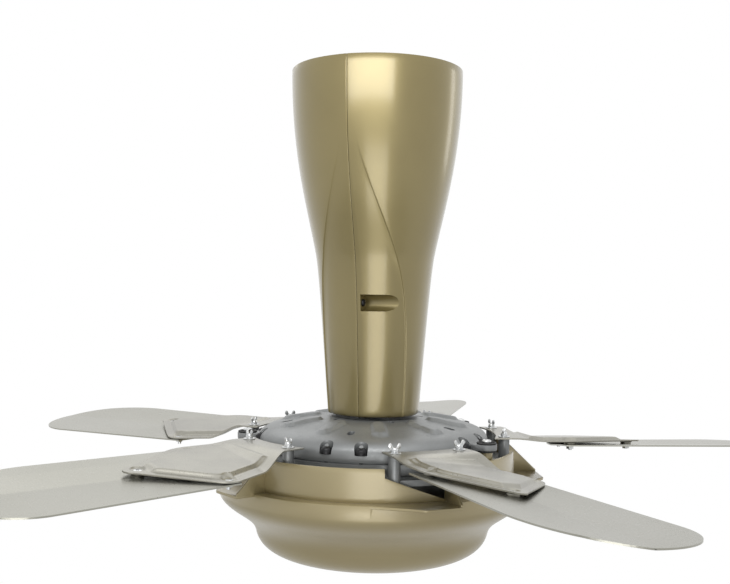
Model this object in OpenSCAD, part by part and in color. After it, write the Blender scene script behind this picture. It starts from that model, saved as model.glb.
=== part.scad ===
// Ceiling fan with a vase-shaped canopy in two halves, five folded sheet blades
// on pressed brackets, an outer-rotor motor and a bowl cover that turns with the blades.
// The origin is the middle of the ceiling bracket's top face, and +Z points up.

/* [Ceiling bracket] */
// Length of the ceiling bracket's plate
plate_l = 110; // [100:1:130]
// Width of the ceiling bracket's plate
plate_w = 36; // [34.5:0.5:44]
// Thickness of the plate
plate_t = 3; // [2:0.5:5]
// Distance between the two ceiling bolts
bolt_spacing = 80; // [70:1:84]
// Diameter of the ceiling bolt holes
bolt_hole_d = 9; // [6:0.5:11]
// Clear gap between the two ears
ear_gap = 28; // [26:0.5:30]
// Thickness of an ear
ear_t = 3; // [2:0.5:4]
// Width of an ear
ear_w = 26; // [22:1:30]
// Depth of the hanger bolt below the ceiling
pivot_drop = 32; // [28:1:38]
// Diameter of the hanger bolt
hanger_bolt_d = 8; // [6:0.5:9]

/* [Down rod] */
// Outside diameter of the down rod
rod_d = 21; // [18:0.5:23]
// Wall of the down rod
rod_wall = 2.5; // [1.5:0.25:3.5]
// Depth of the rod's top end below the ceiling
rod_top_drop = 20; // [16:1:22]
// Outside diameter of the nylon swing bush
bush_d = 13; // [11:0.5:14]
// Length of rod held in the motor shaft's socket
rod_grip = 34; // [28:1:42]
// Diameter of the bolt that joins rod and shaft
rod_bolt_d = 6; // [4:0.5:7]

/* [Canopy] */
// Gap between ceiling and canopy
canopy_gap = 6; // [5.5:0.5:9]
// Height of the canopy
canopy_h = 382; // [370:1:400]
// Diameter of the canopy's top rim
canopy_top_d = 191; // [184:1:200]
// Diameter of the canopy's waist
canopy_waist_d = 133; // [130:1:138]
// Depth of the waist below the top rim
canopy_waist_drop = 205; // [198:1:212]
// Diameter of the canopy's bottom
canopy_bottom_d = 101; // [98:1:106]
// Wall of the canopy
canopy_wall = 2.5; // [2:0.25:3]
// Gap between the two halves
seam_gap = 0.3; // [0.2:0.1:0.5]
// How far the leaf-shaped panel lies below the round form
panel_depth = 2.6; // [1.5:0.1:3]
// Distance that the panel's own circle is set back
panel_setback = 8; // [7:0.5:10]
// Azimuth of the front seam
seam_angle = 253; // [245:1:260]
// Depth of the joining screw below the top rim
pocket_drop = 258; // [250:1:270]
// Diameter of the screw pocket
pocket_d = 18; // [15:0.5:19]
// Distance of the pocket's axis from the fan's axis
pocket_reach = 50; // [48:0.5:51]

/* [Motor] */
// Diameter of the fixed shaft
shaft_d = 20; // [16:0.5:22]
// Diameter of the wire bore in the shaft
wire_bore_d = 10; // [7:0.5:11]
// Outside diameter of the shaft's socket
socket_d = 31; // [30:0.5:33]
// Outside diameter of the motor's upper housing
bell_d = 256; // [252:1:262]
// Height of the upper housing's rim and slope together
bell_h = 31.5; // [29:0.5:33]
// Gap between canopy and upper housing
bell_gap = 3.5; // [3:0.5:5]
// Wall of the two housings
casting_t = 4; // [3:0.5:4.5]
// Depth of the lower housing
drum_h = 63; // [60:1:66]
// Outside diameter of both bearings
bearing_d = 42; // [40:1:44]
// Height of both bearings
bearing_h = 12; // [10:0.5:13]
// Radial running clearance on the shaft
running_fit = 0.04; // [0.02:0.01:0.08]
// Outside diameter of the stator core
stator_d = 206; // [200:1:207]
// Height of the stator core
stator_h = 28; // [24:1:30]
// Number of stator teeth
tooth_count = 12; // [9:3:15]
// Radial thickness of the magnet ring
magnet_t = 11; // [9:0.5:11.5]
// Diameter of the rubber bush in a lug
grommet_d = 16; // [14:0.5:17]

/* [Blades] */
// Diameter swept by the blade tips
sweep_d = 940; // [915:1:960]
// Azimuth of the first blade
blade_phase = 7; // [0:1:14]
// Thickness of the blade sheet
blade_t = 1.5; // [1:0.25:2]
// Distance of the blade's root from the axis
root_r = 208; // [204:1:209]
// Blade width before its leading edge, seen from the radial line
lead_w = 50; // [46:1:54]
// Blade width behind the radial line
trail_w = 92; // [86:1:98]
// Depth of the leading edge below the canopy
lead_drop = 28; // [26:1:30]
// Slope of the narrow leading strip in degrees
strip_slope = 7; // [4:0.5:9]
// Slope of the middle face in degrees
main_slope = 8.5; // [6:0.5:10]
// Slope of the trailing face in degrees
trail_slope = 4; // [2:0.5:6]
// Width of the leading strip
strip_w = 24; // [20:1:28]
// Width of the middle face
main_w = 43; // [38:1:48]

/* [Brackets] */
// Thickness of the bracket sheet
bracket_t = 1.6; // [1.2:0.2:2]
// Distance of the bracket's tip from the axis
bracket_reach = 308; // [300:1:316]
// Bracket width before the radial line
bracket_lead_w = 44; // [42:1:46]
// Bracket width behind the radial line
bracket_trail_w = 80; // [76:1:84]
// Gap between bracket sheet and blade at the first fold
stand_off = 2.9; // [2.5:0.1:4]
// Slope of the bracket's flat part in degrees
bracket_slope = 7; // [6:0.25:7.5]
// Depth of the bracket's ears below the canopy
ear_drop = 21.5; // [20:0.5:23]
// Height of the bracket's pressed middle
emboss_h = 3.5; // [2:0.5:5]
// Distance of the wing screws from the axis
post_r = 146; // [144:0.5:147]
// Angle from the blade's line to each wing screw
post_angle = 14; // [12:0.5:16]
// Diameter of the posts that carry the brackets
post_d = 12; // [11:0.5:13]
// Diameter of the wing screw's shank
wing_screw_d = 5.8; // [4:0.2:6]
// Diameter of the blade screws
blade_screw_d = 4; // [3:0.25:5]

/* [Body cover] */
// Outside diameter of the cover's upright wall
wall_d = 314; // [312:1:320]
// Height of the upright wall
wall_h = 33; // [30:1:36]
// Diameter of the cover's lip
lip_d = 341; // [336:1:350]
// Depth of the bowl below the lip
bowl_h = 86; // [82:1:92]
// Wall of the cover
cover_t = 2.5; // [2:0.25:3]
// Diameter of the opening in the bowl's bottom
port_d = 124; // [110:1:140]

/* [Hidden] */
$fn = 96;
blade_count = 5;
blade_step = 360 / blade_count;
// Overlap that joins two shapes of one solid
weld = 0.5;
// Diametral clearance of a screw in its hole
screw_fit = 0.2;
// Gap left where two pieces of one body lie side by side
seat_gap = 0.2;
// Reach of a cutting form beyond the sheet that it cuts
tool_h = 20;

// Heights along the axis
pivot_z = -pivot_drop;
canopy_top_z = -canopy_gap;
canopy_base_z = canopy_top_z - canopy_h;
bell_top_z = canopy_base_z - bell_gap;
split_z = bell_top_z - bell_h;
drum_base_z = split_z - drum_h;
upper_bearing_z = bell_top_z - 2 * casting_t;
socket_base_z = canopy_base_z + 2;
rod_base_z = socket_base_z + 24;
socket_top_z = rod_base_z + rod_grip;
rod_bolt_z = (rod_base_z + socket_top_z) / 2;
shaft_base_z = drum_base_z - 12;
blade_lead_z = canopy_base_z - lead_drop;
wall_top_z = split_z;
lip_z = wall_top_z - wall_h;
bowl_base_z = lip_z - bowl_h;

// Canopy outline: depth below the rim and radius, on two smooth curves
canopy_upper = [[0, canopy_top_d / 2], [95, canopy_top_d / 2],
    [canopy_waist_drop - 47, canopy_waist_d / 2 + 9], [canopy_waist_drop, canopy_waist_d / 2]];
canopy_lower = [[canopy_waist_drop, canopy_waist_d / 2],
    [canopy_waist_drop + 25, canopy_waist_d / 2 - 4.8],
    [canopy_h - 52, canopy_bottom_d / 2 + 4.5], [canopy_h, canopy_bottom_d / 2]];
upper_steps = 9;
lower_steps = 8;
panel_start = 85;
panel_full = 290;
panel_columns = 6;
flank_columns = 14;
floor_t = 2.5;
floor_hole_d = 66;
base_chamfer = 3.5;
collar_h = 10;
rib_w = 5;
rib_t = 3;
tray_drop = 199;
tray_t = 3;

function mix(a, b, t) = a + (b - a) * t;
function bezier(p, steps) = [for (i = [0 : steps]) let (t = i / steps, s = 1 - t)
    s * s * s * p[0] + 3 * s * s * t * p[1] + 3 * s * t * t * p[2] + t * t * t * p[3]];
function spread(a, b, n) = [for (i = [1 : n]) mix(a, b, i / n)];
function tail(list) = [for (i = [1 : len(list) - 1]) list[i]];
function reversed(list) = [for (i = [len(list) - 1 : -1 : 0]) list[i]];
function smooth(x) = let (t = max(0, min(1, x))) t * t * (3 - 2 * t);

canopy_line = concat(bezier(canopy_upper, upper_steps), tail(bezier(canopy_lower, lower_steps)));
function canopy_r(depth) = lookup(depth, canopy_line);
function panel_cut(depth) = panel_depth * smooth((depth - panel_start) / (panel_full - panel_start));
// Half angle of the leaf-shaped panel, where its circle meets the round form
function panel_angle(depth) = let (r = canopy_r(depth), c = panel_cut(depth), s = panel_setback,
    k = (2 * r * c + 2 * c * s - c * c) / (2 * r * s)) max(1.5, acos(max(0, 1 - k)));
function panel_r(depth, a) = let (r = canopy_r(depth), s = panel_setback,
    own = r - panel_cut(depth) + s) sqrt(own * own - pow(s * sin(a), 2)) - s * cos(a);
function skin_r(depth, a) = min(canopy_r(depth), panel_r(depth, a), panel_r(depth, 180 - a));
// Column angles from the front seam to the rear seam, with lines along both creases
function canopy_angle(depth, j) = let (p = panel_angle(depth), n = panel_columns, m = flank_columns)
    j <= n ? p * j / n : j <= n + m ? mix(p, 180 - p, (j - n) / m) : 180 - p * (2 * n + m - j) / n;
// Smallest free radius inside the canopy at a depth
function canopy_inside(depth) = canopy_r(depth) - panel_cut(depth) - canopy_wall - seat_gap;

// Wall section as [depth, inset from the skin, fixed radius or 0]
rib_base = canopy_h - floor_t - collar_h - seat_gap;
wall_rows = len(canopy_line) - 1;
canopy_outside = [for (i = [0 : wall_rows - 1]) [canopy_line[i][0], 0, 0]];
canopy_inner = [for (p = reversed(canopy_outside)) [p[0], canopy_wall, 0]];
canopy_section = concat(canopy_outside, [[canopy_h - base_chamfer, 0, 0], [canopy_h, base_chamfer, 0],
    [canopy_h, 0, floor_hole_d / 2], [canopy_h - floor_t, 0, floor_hole_d / 2],
    [canopy_h - floor_t, canopy_wall, 0], [rib_base, canopy_wall, 0], [rib_base, canopy_wall + rib_w, 0],
    [rib_base - rib_t, canopy_wall + rib_w, 0], [rib_base - rib_t, canopy_wall, 0]], canopy_inner);
canopy_columns = 2 * panel_columns + flank_columns;

module half_shell() {
    rows = len(canopy_section);
    points = [for (j = [0 : canopy_columns]) for (s = canopy_section)
        let (a = canopy_angle(s[0], j), r = s[2] > 0 ? s[2] : skin_r(s[0], a) - s[1])
        [r * cos(a), r * sin(a), -s[0]]];
    sides = [for (j = [0 : canopy_columns - 1]) for (i = [0 : rows - 1])
        let (k = (i + 1) % rows, a = j * rows + i, b = j * rows + k, c = a + rows, d = b + rows)
        each [[a, d, b], [a, c, d]]];
    n = wall_rows;
    quads = concat([for (i = [0 : n - 2]) [i, i + 1, rows - 2 - i, rows - 1 - i]],
        [[n - 1, n, n + 8, n + 9], [n + 5, n + 6, n + 7, n + 8], [n + 1, n + 2, n + 3, n + 4]]);
    wedges = concat([for (q = quads) each [[q[0], q[1], q[2]], [q[0], q[2], q[3]]]],
        [[n, n + 5, n + 8], [n, n + 4, n + 5], [n, n + 1, n + 4]]);
    last = [for (w = wedges) [for (i = reversed(w)) canopy_columns * rows + i]];
    translate([0, seam_gap / 2, 0])
        polyhedron(points = points, faces = concat(sides, wedges, last));
}

// Places a part in the canopy's own frame: +X to the front seam, z = 0 at the top rim
module in_canopy() {
    translate([0, 0, canopy_top_z]) rotate([0, 0, seam_angle]) children();
}

// Small parts used in several places
module along_x(start, z) { translate([start, 0, z]) rotate([0, 90, 0]) children(); }
module along_y(start, z) { translate([0, start, z]) rotate([-90, 0, 0]) children(); }
module hex(flats, h) { cylinder(d = flats / cos(30), h = h, $fn = 6); }
module around(count, start, r) {
    for (i = [0 : count - 1]) rotate([0, 0, start + i * 360 / count]) translate([r, 0, 0]) children();
}
// A slot shape along X, centred
module capsule(l, d) {
    square([l - d, d], center = true);
    for (side = [-1, 1]) translate([side * (l - d) / 2, 0]) circle(d = d);
}
// A centred rectangle with round corners
module round_rect(l, w, r) {
    square([l - 2 * r, w], center = true);
    square([l, w - 2 * r], center = true);
    for (x = [-1, 1], y = [-1, 1]) translate([x * (l / 2 - r), y * (w / 2 - r)]) circle(r = r);
}
// Moves each point of a line inwards, square to the line
function inset(line, t) = [for (i = [0 : len(line) - 1])
    let (a = line[max(0, i - 1)], b = line[min(len(line) - 1, i + 1)], d = (b - a) / norm(b - a))
    line[i] - t * [-d[1], d[0]]];

// Ceiling bracket and pivot
plate_corner = 6;
ear_face = ear_gap / 2 + ear_t;
bolt_head_h = 5.3;
bolt_head_flats = 13;
hanger_nut_h = 8;
castle_h = 3;
castle_w = 2;
pin_d = 2;
pin_y = ear_face + hanger_nut_h + pin_d;
pin_eye_r = 2.5;
bush_gap = 0.3;
bush_fit = 0.1;

module ear() {
    translate([-ear_w / 2, -ear_t / 2, pivot_z]) cube([ear_w, ear_t, pivot_drop - plate_t / 2]);
    along_y(-ear_t / 2, pivot_z) cylinder(d = ear_w, h = ear_t);
}

module hanger_bracket() {
    color("#c9cbcd") difference() {
        union() {
            translate([0, 0, -plate_t]) linear_extrude(plate_t) round_rect(plate_l, plate_w, plate_corner);
            for (side = [-1, 1]) translate([0, side * (ear_gap + ear_t) / 2, 0]) ear();
        }
        for (side = [-1, 1]) translate([side * bolt_spacing / 2, 0, -plate_t - 1])
            cylinder(d = bolt_hole_d, h = plate_t + 2);
        along_y(-ear_face - 1, pivot_z) cylinder(d = hanger_bolt_d + screw_fit, h = 2 * ear_face + 2);
    }
}

module hanger_bolt() {
    length = ear_face + pin_y + 2 * pin_d;
    color("#a9abad") difference() {
        union() {
            along_y(-ear_face - bolt_head_h, pivot_z) hex(bolt_head_flats, bolt_head_h);
            along_y(-ear_face - weld, pivot_z) cylinder(d = hanger_bolt_d, h = length + weld);
        }
        translate([0, pin_y, pivot_z])
            cylinder(d = pin_d + screw_fit, h = hanger_bolt_d + 2, center = true);
    }
}

module hanger_nut() {
    color("#a9abad") difference() {
        along_y(ear_face, pivot_z) hex(bolt_head_flats, hanger_nut_h);
        along_y(ear_face - 1, pivot_z) cylinder(d = hanger_bolt_d + screw_fit, h = hanger_nut_h + 2);
        for (turn = [0 : 60 : 120]) along_y(ear_face + hanger_nut_h - castle_h, pivot_z)
            rotate([0, 0, turn]) translate([-bolt_head_flats, -castle_w / 2, 0])
                cube([2 * bolt_head_flats, castle_w, castle_h + 1]);
    }
}

module split_pin() {
    leg = hanger_bolt_d + 4 * pin_d;
    color("#d5d7d9") translate([0, pin_y, pivot_z]) {
        cylinder(d = pin_d, h = leg, center = true);
        translate([0, 0, leg / 2 + pin_eye_r]) rotate([0, 90, 0]) rotate_extrude()
            translate([pin_eye_r, 0]) circle(d = pin_d);
    }
}

// Down rod
module swing_bush() {
    length = ear_gap - 2 * bush_gap;
    color("#e9e6dc") difference() {
        along_y(-length / 2, pivot_z) cylinder(d = bush_d, h = length);
        along_y(-length, pivot_z) cylinder(d = hanger_bolt_d + 2 * running_fit, h = 2 * length);
    }
}

module down_rod() {
    length = -rod_top_drop - rod_base_z;
    color("#c5bfae") difference() {
        translate([0, 0, rod_base_z]) cylinder(d = rod_d, h = length);
        translate([0, 0, rod_base_z - 1]) cylinder(d = rod_d - 2 * rod_wall, h = length + 2);
        along_y(-rod_d, pivot_z) cylinder(d = bush_d + bush_fit, h = 2 * rod_d);
        along_x(-rod_d, rod_bolt_z) cylinder(d = rod_bolt_d + screw_fit, h = 2 * rod_d);
    }
}

rod_bolt_flats = 10;
rod_bolt_head_h = 4;
rod_nut_h = 5;

module rod_bolt() {
    color("#a9abad") {
        along_x(-socket_d / 2 - rod_bolt_head_h, rod_bolt_z) hex(rod_bolt_flats, rod_bolt_head_h);
        along_x(-socket_d / 2 - weld, rod_bolt_z) cylinder(d = rod_bolt_d, h = socket_d + 2 * rod_nut_h);
    }
}

module rod_nut() {
    color("#a9abad") difference() {
        along_x(socket_d / 2, rod_bolt_z) hex(rod_bolt_flats, rod_nut_h);
        along_x(socket_d / 2 - 1, rod_bolt_z) cylinder(d = rod_bolt_d + screw_fit, h = rod_nut_h + 2);
    }
}

// Canopy halves, joined by one screw at each seam
pocket_start = 4;
pocket_l = 44;
pocket_wall = 2.2;
canopy_screw_d = 4;
canopy_screw_head_d = 8;
canopy_screw_head_h = 3;
screw_boss_d = 16;
screw_boss_l = 14;
form_margin = 0.3;
form_rise = 20;

// The room inside the skin near the joining screws
module inside_form() {
    rotate_extrude() polygon(concat([[0, -pocket_drop + form_rise]],
        [for (d = [-form_rise : form_rise / 2 : form_rise]) let (depth = pocket_drop + d)
            [canopy_r(depth) - panel_cut(depth) - form_margin, -depth]],
        [[0, -pocket_drop - form_rise]]));
}

// A round form along the joining screw of each seam, from y = start
module at_seams(start, d, h) {
    for (side = [-1, 1]) translate([side * pocket_reach, start, -pocket_drop])
        rotate([-90, 0, 0]) cylinder(d = d, h = h);
}

module canopy_right() {
    color("#b8a97f") in_canopy() difference() {
        union() {
            half_shell();
            intersection() {
                inside_form();
                at_seams(seam_gap / 2, pocket_d + 2 * pocket_wall, pocket_start + pocket_l);
            }
        }
        at_seams(pocket_start, pocket_d, pocket_l);
        at_seams(-1, canopy_screw_d + screw_fit, pocket_start + 2);
    }
}

module canopy_left() {
    color("#b8a97f") in_canopy() difference() {
        union() {
            mirror([0, 1, 0]) half_shell();
            intersection() {
                inside_form();
                at_seams(-screw_boss_l, screw_boss_d, screw_boss_l - seam_gap / 2);
            }
        }
        at_seams(2 - screw_boss_l, canopy_screw_d + screw_fit, screw_boss_l);
    }
}

module canopy_screws() {
    color("#4a4a48") in_canopy() {
        at_seams(3 - screw_boss_l, canopy_screw_d, screw_boss_l - 3 + pocket_start + weld);
        at_seams(pocket_start, canopy_screw_head_d, canopy_screw_head_h);
    }
}

// Collar that carries the canopy
collar_web_t = 4;
collar_rim_t = 4;
collar_hub_d = socket_d + 13;
collar_hub_h = 17;
collar_fit = 0.1;
collar_r = canopy_inside(canopy_h);
collar_z = canopy_base_z + floor_t;
collar_screw_d = 5;
collar_screw_z = collar_z + (collar_h + collar_hub_h) / 2;
collar_hole_d = 12;

module canopy_collar() {
    bore_r = socket_d / 2 + collar_fit;
    color("#c9cbcd") difference() {
        translate([0, 0, collar_z]) rotate_extrude() polygon([[bore_r, 0], [collar_r, 0],
            [collar_r, collar_h], [collar_r - collar_rim_t, collar_h],
            [collar_r - collar_rim_t, collar_web_t],
            [collar_hub_d / 2, collar_web_t], [collar_hub_d / 2, collar_hub_h], [bore_r, collar_hub_h]]);
        translate([0, 0, collar_z - 1]) around(3, 30, (collar_hub_d / 2 + collar_r - collar_rim_t) / 2)
            cylinder(d = collar_hole_d, h = collar_web_t + 2);
        along_x(0, collar_screw_z) cylinder(d = collar_screw_d + screw_fit, h = collar_r);
    }
}

module collar_screw() {
    color("#4a4a48") along_x(socket_d / 2 + collar_fit, collar_screw_z)
        cylinder(d = collar_screw_d, h = collar_hub_d / 2 - socket_d / 2 + 4);
}

// Driver of the motor, on a tray clamped to the rod
clamp_wall = 5;
clamp_h = 16;
tray_z = canopy_top_z - tray_drop;
tray_w = 68;
case_l = 34;
case_w = 64;
case_h = 92;
case_wall = 2;
case_corner = 3;
case_x = rod_d / 2 + clamp_wall + 1 + case_l / 2;
lid_t = 2;
lid_lip = 4;
block_l = 14;
block_w = 40;
block_h = 15;
block_x = -rod_d / 2 - clamp_wall - 1 - block_l / 2;
board_t = 1.6;
tray_screw_d = 5;
lid_fit = 0.2;

module driver_tray() {
    reach = canopy_inside(tray_drop);
    color("#c9cbcd") difference() {
        union() {
            translate([0, 0, tray_z]) linear_extrude(tray_t) intersection() {
                circle(r = reach);
                translate([block_x - block_l / 2 - 1, -tray_w / 2]) square([2 * reach, tray_w]);
            }
            translate([0, 0, tray_z]) cylinder(d = rod_d + 2 * clamp_wall, h = clamp_h);
        }
        translate([0, 0, tray_z - 1]) cylinder(d = rod_d + screw_fit, h = clamp_h + 2);
        along_y(0, tray_z + clamp_h - tray_screw_d) cylinder(d = tray_screw_d + screw_fit, h = rod_d);
    }
}

module tray_screw() {
    color("#4a4a48") along_y(rod_d / 2 + screw_fit / 2, tray_z + clamp_h - tray_screw_d)
        cylinder(d = tray_screw_d, h = clamp_wall + 4);
}

module driver_case() {
    color("#e4e2db") translate([case_x, 0, tray_z + tray_t]) difference() {
        linear_extrude(case_h) round_rect(case_l, case_w, case_corner);
        translate([0, 0, case_wall]) linear_extrude(case_h)
            round_rect(case_l - 2 * case_wall, case_w - 2 * case_wall, case_corner - 1);
    }
}

module driver_board() {
    width = case_w - 2 * case_wall - 4;
    height = case_h - 2 * case_wall - lid_lip - 4;
    color("#3f6b4a") translate([case_x - case_l / 2 + case_wall + 4, 0, tray_z + tray_t + case_wall]) {
        translate([0, -width / 2, 0]) cube([board_t, width, height]);
        for (y = [-1, 1]) translate([board_t - weld, y * width / 4, height * 0.72])
            rotate([0, 90, 0]) cylinder(d = 14, h = 20);
        translate([board_t - weld, -14, 8]) cube([18, 28, 26]);
    }
}

module driver_lid() {
    lip = lid_fit + case_wall;
    color("#e4e2db") translate([case_x, 0, tray_z + tray_t + case_h]) difference() {
        union() {
            linear_extrude(lid_t) round_rect(case_l, case_w, case_corner);
            translate([0, 0, -lid_lip]) linear_extrude(lid_lip + weld)
                round_rect(case_l - 2 * lip, case_w - 2 * lip, case_corner - 1);
        }
        translate([0, 0, -lid_lip - 1]) linear_extrude(lid_lip + 1)
            round_rect(case_l - 4 * lip, case_w - 4 * lip, case_corner - 1);
    }
}

module terminal_block() {
    color("#d9d7d0") translate([block_x, 0, tray_z + tray_t]) difference() {
        translate([-block_l / 2, -block_w / 2, 0]) cube([block_l, block_w, block_h]);
        for (i = [-1.5 : 1.5]) translate([0, i * block_w / 4, block_h - 8]) {
            cylinder(d = 5, h = 9);
            translate([-block_l, -2, -3]) cube([2 * block_l, 4, 4]);
        }
    }
}

// Fixed part of the motor
rod_fit = 0.2;
hub_wire_z = bell_top_z - 29;
hub_wire_d = 7;
spacer_d = shaft_d + 8;
core_hub_d = shaft_d + 28;
stator_z = (split_z + drum_base_z) / 2 + 4.5;
yoke_fit = 0.1;
tooth_w = 14;
tooth_tip_t = 7;
slot_inner_r = 46;
slot_mouth = 4;
coil_t = 7;
coil_inner_r = 58;
air_gap = 1;
seat_lip = 3;
seat_lip_in = 4;
shaft_nut_h = 8;
shaft_nut_flats = shaft_d + 7;
face_gap = 0.3;

module motor_shaft() {
    color("#b9bcc0") difference() {
        union() {
            translate([0, 0, socket_base_z]) cylinder(d = socket_d, h = socket_top_z - socket_base_z);
            translate([0, 0, shaft_base_z]) cylinder(d = shaft_d, h = socket_base_z - shaft_base_z + weld);
        }
        translate([0, 0, rod_base_z]) cylinder(d = rod_d + rod_fit, h = rod_grip + 1);
        translate([0, 0, shaft_base_z - 1]) cylinder(d = wire_bore_d, h = rod_base_z - shaft_base_z + 2);
        along_x(-socket_d, rod_bolt_z) cylinder(d = rod_bolt_d + screw_fit, h = 2 * socket_d);
        along_x(0, hub_wire_z) cylinder(d = hub_wire_d, h = shaft_d);
    }
}

module shaft_nut() {
    color("#a9abad") translate([0, 0, drum_base_z + seat_lip - face_gap - shaft_nut_h]) difference() {
        hex(shaft_nut_flats, shaft_nut_h);
        translate([0, 0, -1]) cylinder(d = shaft_d + screw_fit, h = shaft_nut_h + 2);
    }
}

module stator_hub() {
    top = upper_bearing_z - bearing_h - face_gap;
    base = drum_base_z + seat_lip + bearing_h + face_gap;
    color("#9fa3a8") difference() {
        union() {
            translate([0, 0, base]) cylinder(d = spacer_d, h = top - base);
            translate([0, 0, stator_z - stator_h / 2]) cylinder(d = core_hub_d, h = stator_h);
        }
        translate([0, 0, base - 1]) cylinder(d = shaft_d + rod_fit, h = top - base + 2);
        along_x(0, hub_wire_z) cylinder(d = hub_wire_d, h = core_hub_d);
    }
}

module stator_core() {
    color("#6d7075") translate([0, 0, stator_z - stator_h / 2]) linear_extrude(stator_h) difference() {
        union() {
            circle(r = slot_inner_r);
            difference() {
                circle(d = stator_d);
                circle(r = stator_d / 2 - tooth_tip_t);
            }
            around(tooth_count, 0, slot_inner_r - 3)
                translate([0, -tooth_w / 2]) square([stator_d / 2 - slot_inner_r, tooth_w]);
        }
        circle(d = core_hub_d + rod_fit);
        around(tooth_count, 180 / tooth_count, stator_d / 2 - tooth_tip_t - 2)
            translate([0, -slot_mouth / 2]) square([tooth_tip_t + 4, slot_mouth]);
    }
}

module stator_windings() {
    outer_r = stator_d / 2 - tooth_tip_t - 1;
    color("#b5763a") translate([0, 0, stator_z]) around(tooth_count, 0, coil_inner_r)
        rotate([90, 0, 90]) linear_extrude(outer_r - coil_inner_r) difference() {
            round_rect(tooth_w + 2 * coil_t, stator_h + 2 * coil_t, coil_t - 1);
            square([tooth_w + screw_fit, stator_h + screw_fit], center = true);
        }
}

// Bearings and housings that turn
race_w = 3;
bearing_bore_r = shaft_d / 2 + running_fit;
bearing_seat_r = bearing_d / 2 + 0.05;
bearing_hub_r = bearing_d / 2 + 5;
lip_bore_r = bearing_d / 2 - seat_lip_in;

module bearing(base) {
    width = bearing_d / 2 - bearing_bore_r;
    color("#c3c6ca") translate([0, 0, base]) rotate_extrude() difference() {
        translate([bearing_bore_r, 0]) square([width, bearing_h]);
        for (y = [-1, bearing_h - 1]) translate([bearing_bore_r + (width - race_w) / 2, y])
            square([race_w, 2]);
    }
}

module upper_bearing() { bearing(upper_bearing_z - bearing_h); }
module lower_bearing() { bearing(drum_base_z + seat_lip); }

bell_r = bell_d / 2;
bell_flat_r = 50;
bell_line = concat([[bell_flat_r, 0], [bell_r - 53, -2.5], [bell_r - 28, -7]],
    tail(bezier([[bell_r - 28, -7], [bell_r - 12, -9.5], [bell_r, -13], [bell_r, -24]], 7)),
    [[bell_r, -bell_h]]);
lobe_count = 10;
lobe_l = 46;
lobe_w = 17;
lobe_rise = 2;
lobe_r = 83;
lobe_slope = 8;
bell_screw_r = bell_r - 3;
bell_screw_turn = 8.3;
bell_pocket_d = 14;
bell_pocket_drop = 24;
bell_boss_d = 19;
bell_screw_d = 4;
bush_flange_d = grommet_d + 5;
bush_clear = 1.5;
lug_r = bell_r + bush_clear + bush_flange_d / 2;
lug_t = 6;
lug_drop = 21.5;
lug_d = grommet_d + 6;
lug_turns = [blade_step / 2, 2.5 * blade_step, 4.5 * blade_step];
cover_screw_d = 5;
vent_l = 13;
vent_w = 7;
vent_r = 96;
port_l = 9;
port_w = 5;
wire_port_r = 52;

// Places for the two screws of each sector of the motor's housing
module at_housing_screws() {
    for (i = [0 : blade_count - 1], side = [-1, 1])
        rotate([0, 0, blade_phase + (i + 0.5) * blade_step + side * bell_screw_turn])
            translate([bell_screw_r, 0, 0]) children();
}

module at_lugs() {
    for (turn = lug_turns) rotate([0, 0, blade_phase + turn]) children();
}

module bell_form() {
    rotate_extrude() polygon(concat([[lip_bore_r, 0]], bell_line, reversed(inset(bell_line, casting_t)),
        [[bearing_hub_r, -casting_t], [bearing_hub_r, -2 * casting_t - bearing_h],
        [bearing_seat_r, -2 * casting_t - bearing_h], [bearing_seat_r, -2 * casting_t],
        [lip_bore_r, -2 * casting_t]]));
}

module upper_housing() {
    color("#c8c9ca") translate([0, 0, bell_top_z]) difference() {
        union() {
            bell_form();
            intersection() {
                rotate_extrude() polygon(concat([[0, 0]], bell_line, [[0, -bell_h]]));
                translate([0, 0, -bell_h]) at_housing_screws() cylinder(d = bell_boss_d, h = bell_h);
            }
            around(lobe_count, blade_phase + blade_step / 4, lobe_r)
                translate([0, 0, -4 - casting_t / 2]) rotate([0, lobe_slope, 0])
                    linear_extrude(casting_t / 2 + lobe_rise) capsule(lobe_l, lobe_w);
            translate([0, 0, -lug_drop - lug_t / 2]) at_lugs() linear_extrude(lug_t) {
                translate([lug_r, 0]) circle(d = lug_d);
                translate([bell_screw_r, -lug_d / 2]) square([lug_r - bell_screw_r, lug_d]);
            }
        }
        translate([0, 0, -bell_pocket_drop]) at_housing_screws() cylinder(d = bell_pocket_d, h = bell_h);
        translate([0, 0, -bell_h - 1]) at_housing_screws()
            cylinder(d = bell_screw_d + screw_fit, h = bell_h);
        translate([0, 0, -lug_drop - lug_t]) at_lugs() translate([lug_r, 0, 0])
            cylinder(d = grommet_d, h = 2 * lug_t);
        translate([0, 0, -bell_h]) around(blade_count, blade_phase + blade_step / 2, vent_r)
            linear_extrude(2 * bell_h) capsule(vent_l, vent_w);
        translate([0, 0, -bell_h]) around(blade_count, blade_phase, wire_port_r)
            linear_extrude(2 * bell_h) capsule(port_l, port_w);
    }
}

drum_r = bell_r - 2;
flange_r = bell_r + 3;
flange_t = 5;
flange_step = 1;
flange_fit = 0.6;
drum_corner = 8;
arm_drop = 13;
arm_t = 6;
arm_reach = post_r + 2;
arm_turn = post_angle + 3;
rib_depth = 26;
post_screw_depth = 14;
bell_screw_boss_d = 11;
bell_screw_boss_h = 16;
ear_z = canopy_base_z - ear_drop;
post_top_z = ear_z - bracket_t;
post_base_z = split_z - arm_drop - arm_t - 1;

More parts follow.
